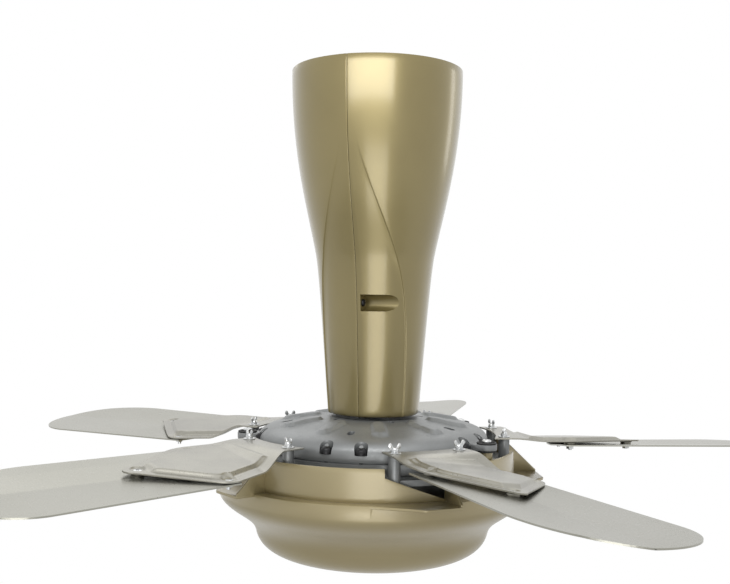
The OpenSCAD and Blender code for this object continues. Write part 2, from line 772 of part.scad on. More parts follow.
module drum_form() {
    rotate_extrude() polygon(concat([[drum_r - casting_t, 0], [drum_r - flange_fit, 0],
        [drum_r - flange_fit, -flange_step], [flange_r, -flange_step], [flange_r, -flange_t],
        [drum_r, -flange_t]],
        bezier([[drum_r, drum_corner - drum_h], [drum_r, 3 - drum_h], [drum_r - 3, -drum_h],
            [drum_r - drum_corner, -drum_h]], 5),
        [[lip_bore_r, -drum_h], [lip_bore_r, seat_lip - drum_h], [bearing_seat_r, seat_lip - drum_h],
        [bearing_seat_r, seat_lip + bearing_h - drum_h], [bearing_hub_r, seat_lip + bearing_h - drum_h],
        [bearing_hub_r, casting_t - drum_h], [drum_r - 2 * drum_corner, casting_t - drum_h],
        [drum_r - casting_t, drum_corner + casting_t - drum_h]]));
}

module at_posts() {
    for (i = [0 : blade_count - 1], side = [-1, 1])
        rotate([0, 0, blade_phase + i * blade_step + side * post_angle]) children();
}

module lower_housing() {
    reach = 2 * arm_reach;
    color("#b9babc") difference() {
        union() {
            translate([0, 0, split_z]) drum_form();
            translate([0, 0, split_z - arm_drop - arm_t]) linear_extrude(arm_t) intersection() {
                difference() {
                    circle(r = arm_reach);
                    circle(r = drum_r - 1);
                }
                for (i = [0 : blade_count - 1]) rotate([0, 0, blade_phase + i * blade_step])
                    polygon([[0, 0], [reach * cos(arm_turn), -reach * sin(arm_turn)],
                        [reach * cos(arm_turn), reach * sin(arm_turn)]]);
            }
            at_posts() {
                translate([post_r, 0, post_base_z]) cylinder(d = post_d, h = post_top_z - post_base_z);
                translate([0, bracket_t, split_z]) rotate([90, 0, 0]) linear_extrude(2 * bracket_t)
                    polygon([[drum_r - 1, -arm_drop - weld], [post_r, -arm_drop - weld],
                        [post_r, 1 - arm_drop - arm_t], [drum_r - 1, -arm_drop - rib_depth]]);
            }
            difference() {
                translate([0, 0, split_z - bell_screw_boss_h]) at_housing_screws()
                    cylinder(d = bell_screw_boss_d, h = bell_screw_boss_h - flange_step - weld);
                translate([0, 0, split_z - drum_h]) cylinder(r = drum_r - casting_t / 2, h = drum_h);
            }
        }
        translate([0, 0, split_z - bell_screw_boss_h + 3]) at_housing_screws()
            cylinder(d = bell_screw_d + screw_fit, h = bell_screw_boss_h);
        translate([0, 0, post_top_z - post_screw_depth - 1]) at_posts() translate([post_r, 0, 0])
            cylinder(d = wing_screw_d + screw_fit, h = post_screw_depth + 2);
    }
}

magnet_h = stator_h + 8;
magnet_outer_r = stator_d / 2 + air_gap + magnet_t;
pole_count = 14;
pole_gap = 1.2;
pole_depth = 4;

module magnet_ring() {
    inner_r = stator_d / 2 + air_gap;
    color("#55585c") translate([0, 0, stator_z - magnet_h / 2]) linear_extrude(magnet_h) difference() {
        circle(r = magnet_outer_r);
        circle(r = inner_r);
        around(pole_count, 0, inner_r - 1) translate([0, -pole_gap / 2]) square([pole_depth + 1, pole_gap]);
    }
}

module rotor_yoke() {
    color("#7b7e82") translate([0, 0, stator_z - magnet_h / 2]) difference() {
        cylinder(r = drum_r - casting_t - yoke_fit, h = magnet_h);
        translate([0, 0, -1]) cylinder(r = magnet_outer_r + yoke_fit, h = magnet_h + 2);
    }
}

module housing_screws() {
    head_z = bell_top_z - bell_pocket_drop;
    tip_z = split_z - bell_screw_boss_h + 4;
    color("#3c3c3d") at_housing_screws() {
        translate([0, 0, tip_z]) cylinder(d = bell_screw_d, h = head_z - tip_z + weld);
        translate([0, 0, head_z]) cylinder(d1 = bell_pocket_d - 3, d2 = bell_pocket_d - 6, h = 3.5);
    }
}

bush_flange_t = 2;
lug_z = bell_top_z - lug_drop;
column_d = 13;
column_top_z = lug_z - lug_t / 2 - bush_flange_t - 0.1;
cover_screw_grip = 12;

module lug_bushes() {
    half = lug_t / 2 + 0.05;
    color("#2b2b2b") translate([0, 0, lug_z]) at_lugs() translate([lug_r, 0, 0]) difference() {
        rotate_extrude() polygon([[0, -half - bush_flange_t], [bush_flange_d / 2, -half - bush_flange_t],
            [bush_flange_d / 2, -half], [grommet_d / 2 - 0.1, -half], [grommet_d / 2 - 0.1, half],
            [bush_flange_d / 2, half], [bush_flange_d / 2, half + bush_flange_t],
            [0, half + bush_flange_t]]);
        cylinder(d = cover_screw_d + screw_fit, h = 4 * lug_t, center = true);
    }
}

module cover_screws() {
    head_z = lug_z + lug_t / 2 + bush_flange_t + 0.1;
    base_z = column_top_z - cover_screw_grip;
    color("#8d8f92") at_lugs() translate([lug_r, 0, 0]) {
        translate([0, 0, base_z]) cylinder(d = cover_screw_d, h = head_z - base_z + weld);
        translate([0, 0, head_z]) cylinder(d = 2 * cover_screw_d, h = 3);
    }
}

// Blades: a folded sheet section cut to the blade's outline
fold_a = strip_w - lead_w;
fold_b = fold_a + main_w;
edge_run = 12;
blade_line = [[-lead_w - edge_run, edge_run * tan(strip_slope)],
    [fold_a, -strip_w * tan(strip_slope)],
    [fold_b, -strip_w * tan(strip_slope) - main_w * tan(main_slope)],
    [trail_w + edge_run, -strip_w * tan(strip_slope) - main_w * tan(main_slope)
        - (trail_w + edge_run - fold_b) * tan(trail_slope)]];
function blade_z(v) = lookup(v, blade_line);
function face_slope(v) = v < fold_a ? strip_slope : v < fold_b ? main_slope : trail_slope;
tip_v = 15;
tip_u = sqrt(pow(sweep_d / 2, 2) - tip_v * tip_v);
tip_lead_run = 90;
tip_trail_run = 60;
root_corner_w = 76;
root_corner_run = 14;
root_flat_w = 34;
tip_steps = 10;
root_steps = 4;
blade_outline = concat([[root_r, -lead_w]],
    bezier([[tip_u - tip_lead_run, -lead_w], [tip_u - 50, -lead_w + 2], [tip_u - 8, -lead_w + 22],
        [tip_u, tip_v]], tip_steps),
    tail(bezier([[tip_u, tip_v], [tip_u + 3, tip_v + 32], [tip_u - 16, trail_w],
        [tip_u - tip_trail_run, trail_w]], tip_steps)),
    bezier([[root_r + root_corner_run, root_corner_w], [root_r + 8, root_corner_w - 10],
        [root_r + 2, root_flat_w + 18], [root_r, root_flat_w]], root_steps));

module in_blade(i) {
    rotate([0, 0, blade_phase + i * blade_step]) children();
}

// Stands on the blade's top face at a point, square to that face
module on_blade(place) {
    translate([place[0], place[1], blade_lead_z + blade_z(place[1])])
        rotate([-face_slope(place[1]), 0, 0]) children();
}

// Places of a blade's three screws: near the bracket's tip, its trailing and its leading corner
tip_screw_run = 15;
tip_screw_v = 8;
trail_screw_run = 22;
trail_screw_inset = 14;
lead_screw_run = 8;
lead_screw_inset = 11;
blade_screw_places = [[bracket_reach - tip_screw_run, tip_screw_v],
    [root_r + trail_screw_run, bracket_trail_w - trail_screw_inset],
    [root_r + lead_screw_run, lead_screw_inset - bracket_lead_w]];

module blade(i) {
    color("#bfc0bb") in_blade(i) difference() {
        intersection() {
            translate([root_r - tool_h, 0, blade_lead_z]) rotate([90, 0, 90])
                linear_extrude(sweep_d / 2) polygon(concat(blade_line,
                    [for (p = reversed(blade_line)) p - [0, blade_t]]));
            translate([0, 0, blade_lead_z - 2 * tool_h]) linear_extrude(4 * tool_h) polygon(blade_outline);
        }
        for (place = blade_screw_places) on_blade(place)
            translate([0, 0, -tool_h / 2]) cylinder(d = blade_screw_d + screw_fit, h = tool_h);
    }
}

module blade_1() { blade(0); }
module blade_2() { blade(1); }
module blade_3() { blade(2); }
module blade_4() { blade(3); }
module blade_5() { blade(4); }

// Brackets: a pressed sheet from the posts to the blade
// Distances from the wing screws to the sheet's inner edge, the end of the flat ears and the bend's end
inner_run = 13;
ear_flat_run = 7;
bend_run = 42;
bracket_start_r = post_r - inner_run;
ear_flat_r = post_r + ear_flat_run;
bend_end_r = post_r + bend_run;
ear_half_w = 44;
ear_flare = 4;
ear_flare_run = 8;
// The two wide corners, and the rounded tip between its own two corners
lead_corner_r = 228;
trail_corner_r = 236;
tip_round = 6;
tip_lead_v = 7;
tip_trail_v = 12;
tip_row_run = 16;
bracket_lead = [[bracket_start_r, -ear_half_w], [ear_flat_r, -bracket_lead_w],
    [lead_corner_r, -bracket_lead_w], [bracket_reach - tip_round, tip_lead_v - tip_round + 1],
    [bracket_reach, tip_lead_v]];
bracket_trail = [[bracket_start_r, ear_half_w], [ear_flat_r + ear_flare_run, ear_half_w + ear_flare],
    [trail_corner_r, bracket_trail_w], [bracket_reach - tip_round, tip_trail_v + tip_round],
    [bracket_reach, tip_trail_v]];
bracket_rows = concat([bracket_start_r], spread(bracket_start_r, ear_flat_r, 3),
    spread(ear_flat_r, bend_end_r, 5), spread(bend_end_r, lead_corner_r, 3), [trail_corner_r],
    spread(trail_corner_r, bracket_reach - tip_row_run, 4), [bracket_reach - tip_round, bracket_reach]);
// The pressed middle: width of its flat border, of its slope, and where it starts and ends
emboss_edge = 11;
emboss_run = 6;
emboss_start_r = ear_flat_r + 15;
emboss_end_r = bracket_reach - 20;
dimple_d = 12;
head_d = 8;
head_h = 2;
bell_clear_r = bell_r + 9;
bracket_columns = 9;

function bracket_plane(v) = blade_lead_z + blade_z(fold_a) + stand_off + bracket_t
    - (v - fold_a) * tan(bracket_slope);
// Distance of a point from the nearest edge of the pressed middle's field
function edge_distance(u, v) = min(v - lookup(u, bracket_lead), lookup(u, bracket_trail) - v,
    u - emboss_start_r + emboss_edge, (emboss_end_r - u) * 0.6 + emboss_edge);
function bracket_top(u, v) = emboss_h * smooth((edge_distance(u, v) - emboss_edge) / emboss_run)
    + mix(ear_z, bracket_plane(v), smooth((u - ear_flat_r) / (bend_end_r - ear_flat_r)));

// Places across a row: the edges, the two sides of each step, and the middle
function row_places(u) = let (a = lookup(u, bracket_lead), b = lookup(u, bracket_trail), w = b - a,
    e = min(emboss_edge, w * 0.28), f = min(emboss_edge + emboss_run, w * 0.42))
    [a, a + e, a + (e + f) / 2, a + f, (a + b) / 2, b - f, b - (e + f) / 2, b - e, b];

module bracket_sheet() {
    columns = bracket_columns;
    rows = len(bracket_rows);
    top = [for (u = bracket_rows) for (v = row_places(u)) [u, v, bracket_top(u, v)]];
    points = concat(top, [for (p = top) p - [0, 0, bracket_t]]);
    base = len(top);
    quads = [for (i = [0 : rows - 2]) for (j = [0 : columns - 2]) let (a = i * columns + j)
        [a, a + 1, a + columns + 1, a + columns]];
    sides = concat(
        [for (i = [0 : rows - 2]) [i * columns, (i + 1) * columns]],
        [for (i = [0 : rows - 2]) [(i + 2) * columns - 1, (i + 1) * columns - 1]],
        [for (j = [0 : columns - 2]) [j + 1, j]],
        [for (j = [0 : columns - 2]) [(rows - 1) * columns + j, (rows - 1) * columns + j + 1]]);
    faces = concat(
        [for (q = quads) each [[q[0], q[1], q[2]], [q[0], q[2], q[3]]]],
        [for (q = quads) each [[base + q[2], base + q[1], base + q[0]],
            [base + q[3], base + q[2], base + q[0]]]],
        [for (s = sides) each [[s[0], s[1], base + s[1]], [s[0], base + s[1], base + s[0]]]]);
    polyhedron(points = points, faces = faces);
}

// Height from the blade to the bracket's top, square to the blade
function dimple_h(place) = (bracket_top(place[0], place[1]) - blade_lead_z - blade_z(place[1]))
    * cos(face_slope(place[1]));

module blade_bracket(i) {
    color("#c6c4ba") in_blade(i) difference() {
        union() {
            difference() {
                bracket_sheet();
                translate([0, 0, ear_z - tool_h]) cylinder(r = bell_clear_r, h = 2 * tool_h);
            }
            for (place = blade_screw_places) on_blade(place) cylinder(d = dimple_d, h = dimple_h(place));
        }
        for (place = blade_screw_places) on_blade(place) {
            translate([0, 0, -1]) cylinder(d = blade_screw_d + screw_fit, h = tool_h);
            translate([0, 0, dimple_h(place) - head_h])
                cylinder(d1 = blade_screw_d + screw_fit, d2 = head_d + screw_fit, h = head_h);
            translate([0, 0, dimple_h(place) - 0.01]) cylinder(d = head_d + 1, h = 5);
        }
        for (side = [-1, 1]) rotate([0, 0, side * post_angle]) translate([post_r, 0, ear_z - tool_h / 2])
            cylinder(d = wing_screw_d + screw_fit, h = tool_h);
    }
}

module blade_bracket_1() { blade_bracket(0); }
module blade_bracket_2() { blade_bracket(1); }
module blade_bracket_3() { blade_bracket(2); }
module blade_bracket_4() { blade_bracket(3); }
module blade_bracket_5() { blade_bracket(4); }

nut_flats = 7;
nut_h = 3;

module blade_screws() {
    color("#d0d2d4") for (i = [0 : blade_count - 1], place = blade_screw_places)
        in_blade(i) on_blade(place) {
            translate([0, 0, -blade_t - nut_h - 1])
                cylinder(d = blade_screw_d, h = dimple_h(place) + blade_t + nut_h);
            translate([0, 0, dimple_h(place) - head_h]) cylinder(d1 = blade_screw_d, d2 = head_d, h = head_h);
        }
}

module blade_nuts() {
    color("#a9abad") for (i = [0 : blade_count - 1], place = blade_screw_places)
        in_blade(i) on_blade(place) translate([0, 0, -blade_t - nut_h]) difference() {
            hex(nut_flats, nut_h);
            translate([0, 0, -1]) cylinder(d = blade_screw_d + screw_fit, h = nut_h + 2);
        }
}

washer_d = 13;
washer_t = 1;
wing_w = 13;
wing_t = 2.4;
wing_rise = 10;
neck_d = 7;

module wing_screws() {
    color("#dcdddd") at_posts() translate([post_r, 0, ear_z]) {
        translate([0, 0, -bracket_t - post_screw_depth])
            cylinder(d = wing_screw_d, h = bracket_t + post_screw_depth + weld);
        cylinder(d = washer_d, h = washer_t);
        cylinder(d = neck_d, h = wing_rise / 2);
        rotate([90, 0, 90]) translate([0, 0, -wing_t / 2]) linear_extrude(wing_t)
            polygon([[-2, 2], [2, 2], [wing_w / 2, 0.55 * wing_rise], [wing_w / 2, 0.9 * wing_rise],
                [wing_w / 2 - 1, wing_rise], [wing_w / 2 - 3, 0.95 * wing_rise], [0, 0.6 * wing_rise],
                [3 - wing_w / 2, 0.95 * wing_rise], [1 - wing_w / 2, wing_rise],
                [-wing_w / 2, 0.9 * wing_rise], [-wing_w / 2, 0.55 * wing_rise]]);
    }
}

// Body cover
wall_r = wall_d / 2;
lip_r = lip_d / 2;
lip_t = 3;
bowl_line = concat([[lip_r, 0], [lip_r, -14]],
    tail(bezier([[lip_r, -14], [lip_r, -31], [lip_r - 36, -38], [lip_r - 41, -59]], 8)),
    tail(bezier([[lip_r - 41, -59], [lip_r - 44, -74], [lip_r - 58, -bowl_h],
        [port_d / 2 + 14, -bowl_h]], 7)),
    [[port_d / 2, -bowl_h]]);
slot_start = 18;
slot_end = 5;
slot_step = 9;
cheek_reach = 33;
tongue_start = 34;
tongue_inset = 0.2;
start_flat = -32;
column_base_z = lip_z + 8;

// Section of the bowl, its lip and the upright wall
module cover_form() {
    rotate_extrude() polygon(concat([[wall_r - cover_t, wall_h], [wall_r, wall_h], [wall_r, 0]], bowl_line,
        reversed([for (p = inset(bowl_line, cover_t)) if (p[1] < -lip_t) p]),
        [[lip_r - cover_t, -lip_t], [wall_r - cover_t, -lip_t]]));
}

// Slot in the wall where a bracket passes, from its step down to the lip
module wall_slot() {
    start_y = -wall_r * sin(slot_start);
    end_y = wall_r * sin(slot_end);
    translate([drum_r, 0, lip_z]) rotate([90, 0, 90]) linear_extrude(lip_r)
        polygon([[start_y, wall_h + 1], [start_y, wall_h - slot_step], [end_y, 1], [end_y, wall_h + 1]]);
}

// Flat panel at the end of a slot, and the tongue of the lip that joins it
module slot_cheek() {
    end_y = wall_r * sin(slot_end);
    reach = wall_r + cheek_reach;
    start_r = lip_r - 4;
    inside = wall_r - 20;
    translate([0, end_y + cover_t, lip_z]) rotate([90, 0, 0]) linear_extrude(cover_t)
        polygon([[wall_r - cover_t / 2, -weld], [reach, -weld], [reach, lip_t],
            [wall_r - cover_t / 2, wall_h - 1]]);
    translate([0, 0, lip_z - lip_t + tongue_inset]) linear_extrude(lip_t - 2 * tongue_inset) difference() {
        polygon([[start_r * cos(tongue_start), -start_r * sin(tongue_start)], [reach - 8, start_flat],
            [reach, start_flat + 12], [reach, end_y + cover_t], [inside, end_y + cover_t],
            [inside * cos(tongue_start), -inside * sin(tongue_start)]]);
        circle(r = wall_r - cover_t / 2);
    }
}

module body_cover() {
    color("#b9a97c") difference() {
        union() {
            difference() {
                translate([0, 0, lip_z]) cover_form();
                for (i = [0 : blade_count - 1]) in_blade(i) wall_slot();
            }
            for (i = [0 : blade_count - 1]) in_blade(i) slot_cheek();
            at_lugs() {
                translate([lug_r, 0, column_base_z])
                    cylinder(d = column_d, h = column_top_z - column_base_z);
                translate([lug_r, -cover_t, column_base_z])
                    cube([wall_r - cover_t / 2 - lug_r, 2 * cover_t, wall_top_z - column_base_z - 2]);
            }
        }
        translate([0, 0, column_top_z - cover_screw_grip - 1]) at_lugs() translate([lug_r, 0, 0])
            cylinder(d = cover_screw_d + screw_fit, h = cover_screw_grip + 2);
    }
}

module bottom_cap() {
    plug_r = port_d / 2 - 0.2;
    color("#b9a97c") translate([0, 0, bowl_base_z]) rotate_extrude() polygon([[0, -5],
        [plug_r - 20, -4.4], [plug_r, -2.6], [plug_r + 4, 0], [plug_r, 0], [plug_r, cover_t + 2],
        [plug_r - 2, cover_t + 2], [plug_r - 2, -0.5], [plug_r - 20, -2], [0, -2.6]]);
}

hanger_bracket();
hanger_bolt();
hanger_nut();
split_pin();
swing_bush();
down_rod();
rod_bolt();
rod_nut();
canopy_left();
canopy_right();
canopy_screws();
canopy_collar();
collar_screw();
driver_tray();
tray_screw();
driver_case();
driver_board();
driver_lid();
terminal_block();
motor_shaft();
shaft_nut();
stator_hub();
stator_core();
stator_windings();
upper_bearing();
lower_bearing();
upper_housing();
lower_housing();
rotor_yoke();
magnet_ring();
housing_screws();
lug_bushes();
cover_screws();
blade_bracket_1();
blade_bracket_2();
blade_bracket_3();
blade_bracket_4();
blade_bracket_5();
blade_1();
blade_2();
blade_3();
blade_4();
blade_5();
wing_screws();
blade_screws();
blade_nuts();
body_cover();
bottom_cap();
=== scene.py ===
"""Looks of a ceiling fan with a vase-shaped canopy, folded blades and a bowl cover.

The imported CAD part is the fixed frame. Sizes are in millimetres and become metres in show().
"""

import logging
import math
from collections.abc import Callable, Iterable, Sequence
from dataclasses import dataclass
from enum import Enum

import bmesh
import bpy
from bmesh.types import BMEdge, BMesh, BMVert
from mathutils import Matrix, Vector


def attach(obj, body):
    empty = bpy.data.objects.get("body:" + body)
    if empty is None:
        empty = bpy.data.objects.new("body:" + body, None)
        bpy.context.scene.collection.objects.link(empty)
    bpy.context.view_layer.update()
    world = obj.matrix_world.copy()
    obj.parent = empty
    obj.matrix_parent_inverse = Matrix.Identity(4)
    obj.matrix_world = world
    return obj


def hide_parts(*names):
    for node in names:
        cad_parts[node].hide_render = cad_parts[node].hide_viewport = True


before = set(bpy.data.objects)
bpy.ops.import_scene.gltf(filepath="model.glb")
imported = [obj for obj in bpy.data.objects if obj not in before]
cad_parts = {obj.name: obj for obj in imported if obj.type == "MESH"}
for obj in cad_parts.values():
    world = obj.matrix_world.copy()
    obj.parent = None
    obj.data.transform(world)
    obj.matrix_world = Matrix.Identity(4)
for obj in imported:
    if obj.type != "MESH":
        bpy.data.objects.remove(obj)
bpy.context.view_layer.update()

log = logging.getLogger("ceiling_fan")

MM = 0.001
# Points closer than this are merged
MERGE = 0.001
BLADE_COUNT = 5
# Azimuth of the first blade
BLADE_PHASE = 7.0
BLADE_STEP = 360.0 / BLADE_COUNT
# Wing screws: angle from the blade's line, and distance from the axis
POST_ANGLE = 14.0
POST_R = 146.0
# Lugs that carry the cover: distance from the axis, and place in steps from one blade to the next
LUG_R = 140.0
LUG_SECTORS = (0.5, 2.5, 4.5)
# Heights of the upper housing's top, the brackets' ears, the leading edges and the cover's lip
BELL_TOP_Z = -391.5
EAR_Z = -409.5
BLADE_LEAD_Z = -416.0
LIP_Z = -456.0
# Thickness of the brackets' sheet
SHEET_T = 1.6
# Leeway for shares that should be equal
ROUNDING = 1e-6
# Number of sides of a round bar
ROD_SIDES = 40
# Length in metres after which a band texture of scale 1 repeats
WAVE_REPEAT = math.pi / 10
# What stands on z = 0 turns onto its side: its top towards -Y, or towards +Y
TOWARDS_FRONT = Matrix.Rotation(math.pi / 2, 4, "X")
TOWARDS_REAR = Matrix.Rotation(-math.pi / 2, 4, "X")

Point = tuple[float, float]


class Body(Enum):
    """The CAD bodies that pieces ride on."""

    PENDANT = "pendant"
    ROTOR = "rotor"


class Cut(Enum):
    """How two closed meshes are combined."""

    JOIN = "UNION"
    REMOVE = "DIFFERENCE"
    KEEP = "INTERSECT"


def mix(a: float, b: float, t: float) -> float:
    """Value at share t of the way from a to b."""
    return a + (b - a) * t


def smooth(x: float) -> float:
    """Eased step from 0 to 1 as x goes from 0 to 1."""
    t = max(0.0, min(1.0, x))
    return t * t * (3.0 - 2.0 * t)


def lookup(x: float, line: Sequence[Point]) -> float:
    """Height of a line of straight pieces at x.

    Args:
        x: Place along the line.
        line: Points with rising first values.

    Returns:
        The second value at x, held level beyond both ends.
    """
    if x <= line[0][0]:
        return line[0][1]
    for (x0, y0), (x1, y1) in zip(line, line[1:]):
        if x <= x1:
            return mix(y0, y1, (x - x0) / (x1 - x0))
    return line[-1][1]


def bezier(corners: Sequence[Point], steps: int) -> list[Point]:
    """Points of a cubic curve.

    Args:
        corners: Its four control points.
        steps: Number of pieces.

    Returns:
        steps + 1 points from the first corner to the last.
    """
    line = []
    for i in range(steps + 1):
        t = i / steps
        share = ((1 - t) ** 3, 3 * (1 - t) ** 2 * t, 3 * (1 - t) * t * t, t ** 3)
        line.append(tuple(sum(w * p[k] for w, p in zip(share, corners)) for k in (0, 1)))
    return line


def arc(centre: Point, radius: float, start: float, end: float, steps: int = 4) -> list[Point]:
    """Points of a round corner, from one angle to another in degrees."""
    turns = [math.radians(mix(start, end, i / steps)) for i in range(steps + 1)]
    return [(centre[0] + radius * math.cos(a), centre[1] + radius * math.sin(a)) for a in turns]


def offset(line: Sequence[Point], distance: float) -> list[Point]:
    """Moves a line square to itself.

    Args:
        line: Its points.
        distance: How far it moves, to the left of its own direction.

    Returns:
        The moved points.
    """
    moved = []
    for i, point in enumerate(line):
        a, b = line[max(0, i - 1)], line[min(len(line) - 1, i + 1)]
        run, rise = b[0] - a[0], b[1] - a[1]
        length = math.hypot(run, rise)
        moved.append((point[0] - rise / length * distance, point[1] + run / length * distance))
    return moved


def spin(section: Sequence[Point], steps: int = 96, turn: float = 360.0) -> BMesh:
    """Turns a closed section about the fan's axis.

    Args:
        section: Points as (radius, height).
        steps: Number of steps of the turn.
        turn: Angle in degrees.

    Returns:
        The turned mesh, its faces pointing outwards.
    """
    mesh = bmesh.new()
    points = [mesh.verts.new((r, 0.0, z)) for r, z in section]
    edges = [mesh.edges.new(pair) for pair in zip(points, points[1:] + points[:1])]
    bmesh.ops.spin(mesh, geom=points + edges, cent=(0, 0, 0), axis=(0, 0, 1), dvec=(0, 0, 0),
                   angle=math.radians(turn), steps=steps, use_merge=turn >= 360.0,
                   use_duplicate=False)
    bmesh.ops.remove_doubles(mesh, verts=mesh.verts, dist=MERGE)
    bmesh.ops.dissolve_degenerate(mesh, dist=MERGE, edges=mesh.edges)
    bmesh.ops.recalc_face_normals(mesh, faces=mesh.faces)
    return mesh


def rod(diameter: float, length: float, place: Matrix | None = None) -> BMesh:
    """Makes a round bar standing on its own origin.

    Args:
        diameter: Its diameter.
        length: Its height.
        place: Where it stands and which way up.

    Returns:
        The closed mesh.
    """
    mesh = bmesh.new()
    middle = Matrix.Translation((0, 0, length / 2))
    bmesh.ops.create_cone(mesh, cap_ends=True, segments=ROD_SIDES, radius1=diameter / 2,
                          radius2=diameter / 2, depth=length,
                          matrix=(place or Matrix()) @ middle)
    return mesh


def block(size: Sequence[float], centre: Sequence[float]) -> BMesh:
    """Makes a rectangular block.

    Args:
        size: Its three sides.
        centre: Its middle.

    Returns:
        The closed mesh.
    """
    mesh = bmesh.new()
    shape = Matrix.Translation(centre) @ Matrix.Diagonal((*size, 1.0))
    bmesh.ops.create_cube(mesh, size=1.0, matrix=shape)
    return mesh


def extruded(mesh: BMesh) -> list[BMVert]:
    """Extrudes all faces of a mesh as one region, and returns the new points."""
    grown = bmesh.ops.extrude_face_region(mesh, geom=mesh.faces[:])["geom"]
    return [part for part in grown if isinstance(part, BMVert)]


def moved(mesh: BMesh, place: Matrix) -> BMesh:
    """Moves a mesh, and returns the same mesh."""
    bmesh.ops.transform(mesh, matrix=place, verts=mesh.verts)
    return mesh


def plate(outline: Sequence[Point], thickness: float, place: Matrix | None = None) -> BMesh:
    """Makes a flat plate, extruded upwards from its outline's plane.

    Args:
        outline: Its points.
        thickness: Its height.
        place: Where it stands and which way up.

    Returns:
        The closed mesh.
    """
    mesh = bmesh.new()
    mesh.faces.new([mesh.verts.new((x, y, 0.0)) for x, y in outline])
    bmesh.ops.translate(mesh, vec=(0, 0, thickness), verts=extruded(mesh))
    bmesh.ops.recalc_face_normals(mesh, faces=mesh.faces)
    return moved(mesh, place or Matrix())


def sheet(columns: int, rows: int, thickness: float,
          where: Callable[[float, float], Vector]) -> BMesh:
    """Makes a bent sheet: a grid laid out by a function, with its thickness downwards.

    Args:
        columns: Number of faces along the first share.
        rows: Number of faces along the second share.
        thickness: Thickness of the sheet.
        where: Gives the place of the top face for two shares from 0 to 1.

    Returns:
        The closed mesh.
    """
    mesh = bmesh.new()
    bmesh.ops.create_grid(mesh, x_segments=columns, y_segments=rows, size=0.5)
    for v in mesh.verts:
        v.co = where(v.co.x + 0.5, v.co.y + 0.5)
    bmesh.ops.translate(mesh, vec=(0, 0, -thickness), verts=extruded(mesh))
    bmesh.ops.recalc_face_normals(mesh, faces=mesh.faces)
    return mesh


def soften(mesh: BMesh, width: float, segments: int = 2, angle: float = 35.0,
           where: Callable[[BMEdge], bool] | None = None) -> BMesh:
    """Rounds the edges whose faces meet at more than an angle.

    Args:
        mesh: The mesh to work on.
        width: Width of the rounding.
        segments: Its number of steps.
        angle: Least angle between the two faces, in degrees.
        where: Picks among those edges.

    Returns:
        The same mesh.
    """
    limit = math.radians(angle)
    sharp = [e for e in mesh.edges if len(e.link_faces) == 2 and e.calc_face_angle() > limit
             and (where is None or where(e))]
    bmesh.ops.bevel(mesh, geom=sharp, offset=width, offset_type="OFFSET", segments=segments,
                    profile=0.5, affect="EDGES", clamp_overlap=True, material=-1)
    return mesh


def to_data(name: str, mesh: BMesh) -> bpy.types.Mesh:
    """Writes a mesh to new mesh data and frees it.

    Args:
        name: The data's name.
        mesh: The mesh.

    Returns:
        The new data.
    """
    data = bpy.data.meshes.new(name)
    mesh.to_mesh(data)
    mesh.free()
    return data


def new_object(name: str, data: bpy.types.ID) -> bpy.types.Object:
    """Adds an object to the scene.

    Args:
        name: Its name.
        data: Its mesh, lamp or camera.

    Returns:
        The new object.
    """
    made = bpy.data.objects.new(name, data)
    bpy.context.scene.collection.objects.link(made)
    return made


def gather(meshes: Iterable[BMesh]) -> BMesh:
    """Puts several meshes into one.

    Args:
        meshes: The meshes, which are freed.

    Returns:
        The one mesh.
    """
    whole = bmesh.new()
    for mesh in meshes:
        data = to_data("part", mesh)
        whole.from_mesh(data)
        bpy.data.meshes.remove(data)
    return whole


def copies(mesh: BMesh, places: Iterable[Matrix]) -> BMesh:
    """Copies a mesh to several places.

    Args:
        mesh: The mesh, which is freed.
        places: Where each copy goes.

    Returns:
        One mesh with all copies.
    """
    made = [moved(mesh.copy(), place) for place in places]
    mesh.free()
    return gather(made)


def combine(mesh: BMesh, tool: BMesh, cut: Cut) -> BMesh:
    """Joins, cuts or intersects two closed meshes.

    Args:
        mesh: The first mesh, which is freed.
        tool: The second mesh, which is freed.
        cut: What is done with the two.

    Returns:
        The result.
    """
    objects = [new_object("target", to_data("target", mesh)),
               new_object("tool", to_data("tool", tool))]
    modifier = objects[0].modifiers.new("cut", "BOOLEAN")
    modifier.operation = cut.value
    modifier.solver = "MANIFOLD"
    modifier.object = objects[1]
    bpy.context.view_layer.update()
    result = bmesh.new()
    result.from_object(objects[0], bpy.context.evaluated_depsgraph_get())
    for thing in objects:
        data = thing.data
        bpy.data.objects.remove(thing)
        bpy.data.meshes.remove(data)
    return result


def turned(angle: float, radius: float = 0.0, height: float = 0.0) -> Matrix:
    """Place at an azimuth in degrees, a radius and a height, facing outwards."""
    return Matrix.Rotation(math.radians(angle), 4, "Z") @ Matrix.Translation((radius, 0, height))


def blade_turn(index: float) -> Matrix:
    """Turn of a blade's own frame about the axis."""
    return turned(BLADE_PHASE + index * BLADE_STEP)


def at_lugs(height: float) -> list[Matrix]:
    """Places on the axes of the three lugs, at a height."""
    return [turned(BLADE_PHASE + sector * BLADE_STEP, LUG_R, height) for sector in LUG_SECTORS]


def linear(colour: str) -> tuple[float, float, float, float]:
    """Turns an sRGB hex colour into linear values."""
    channels = [int(colour[i:i + 2], 16) / 255 for i in (1, 3, 5)]
    return (*[c / 12.92 if c <= 0.04045 else ((c + 0.055) / 1.055) ** 2.4 for c in channels], 1.0)


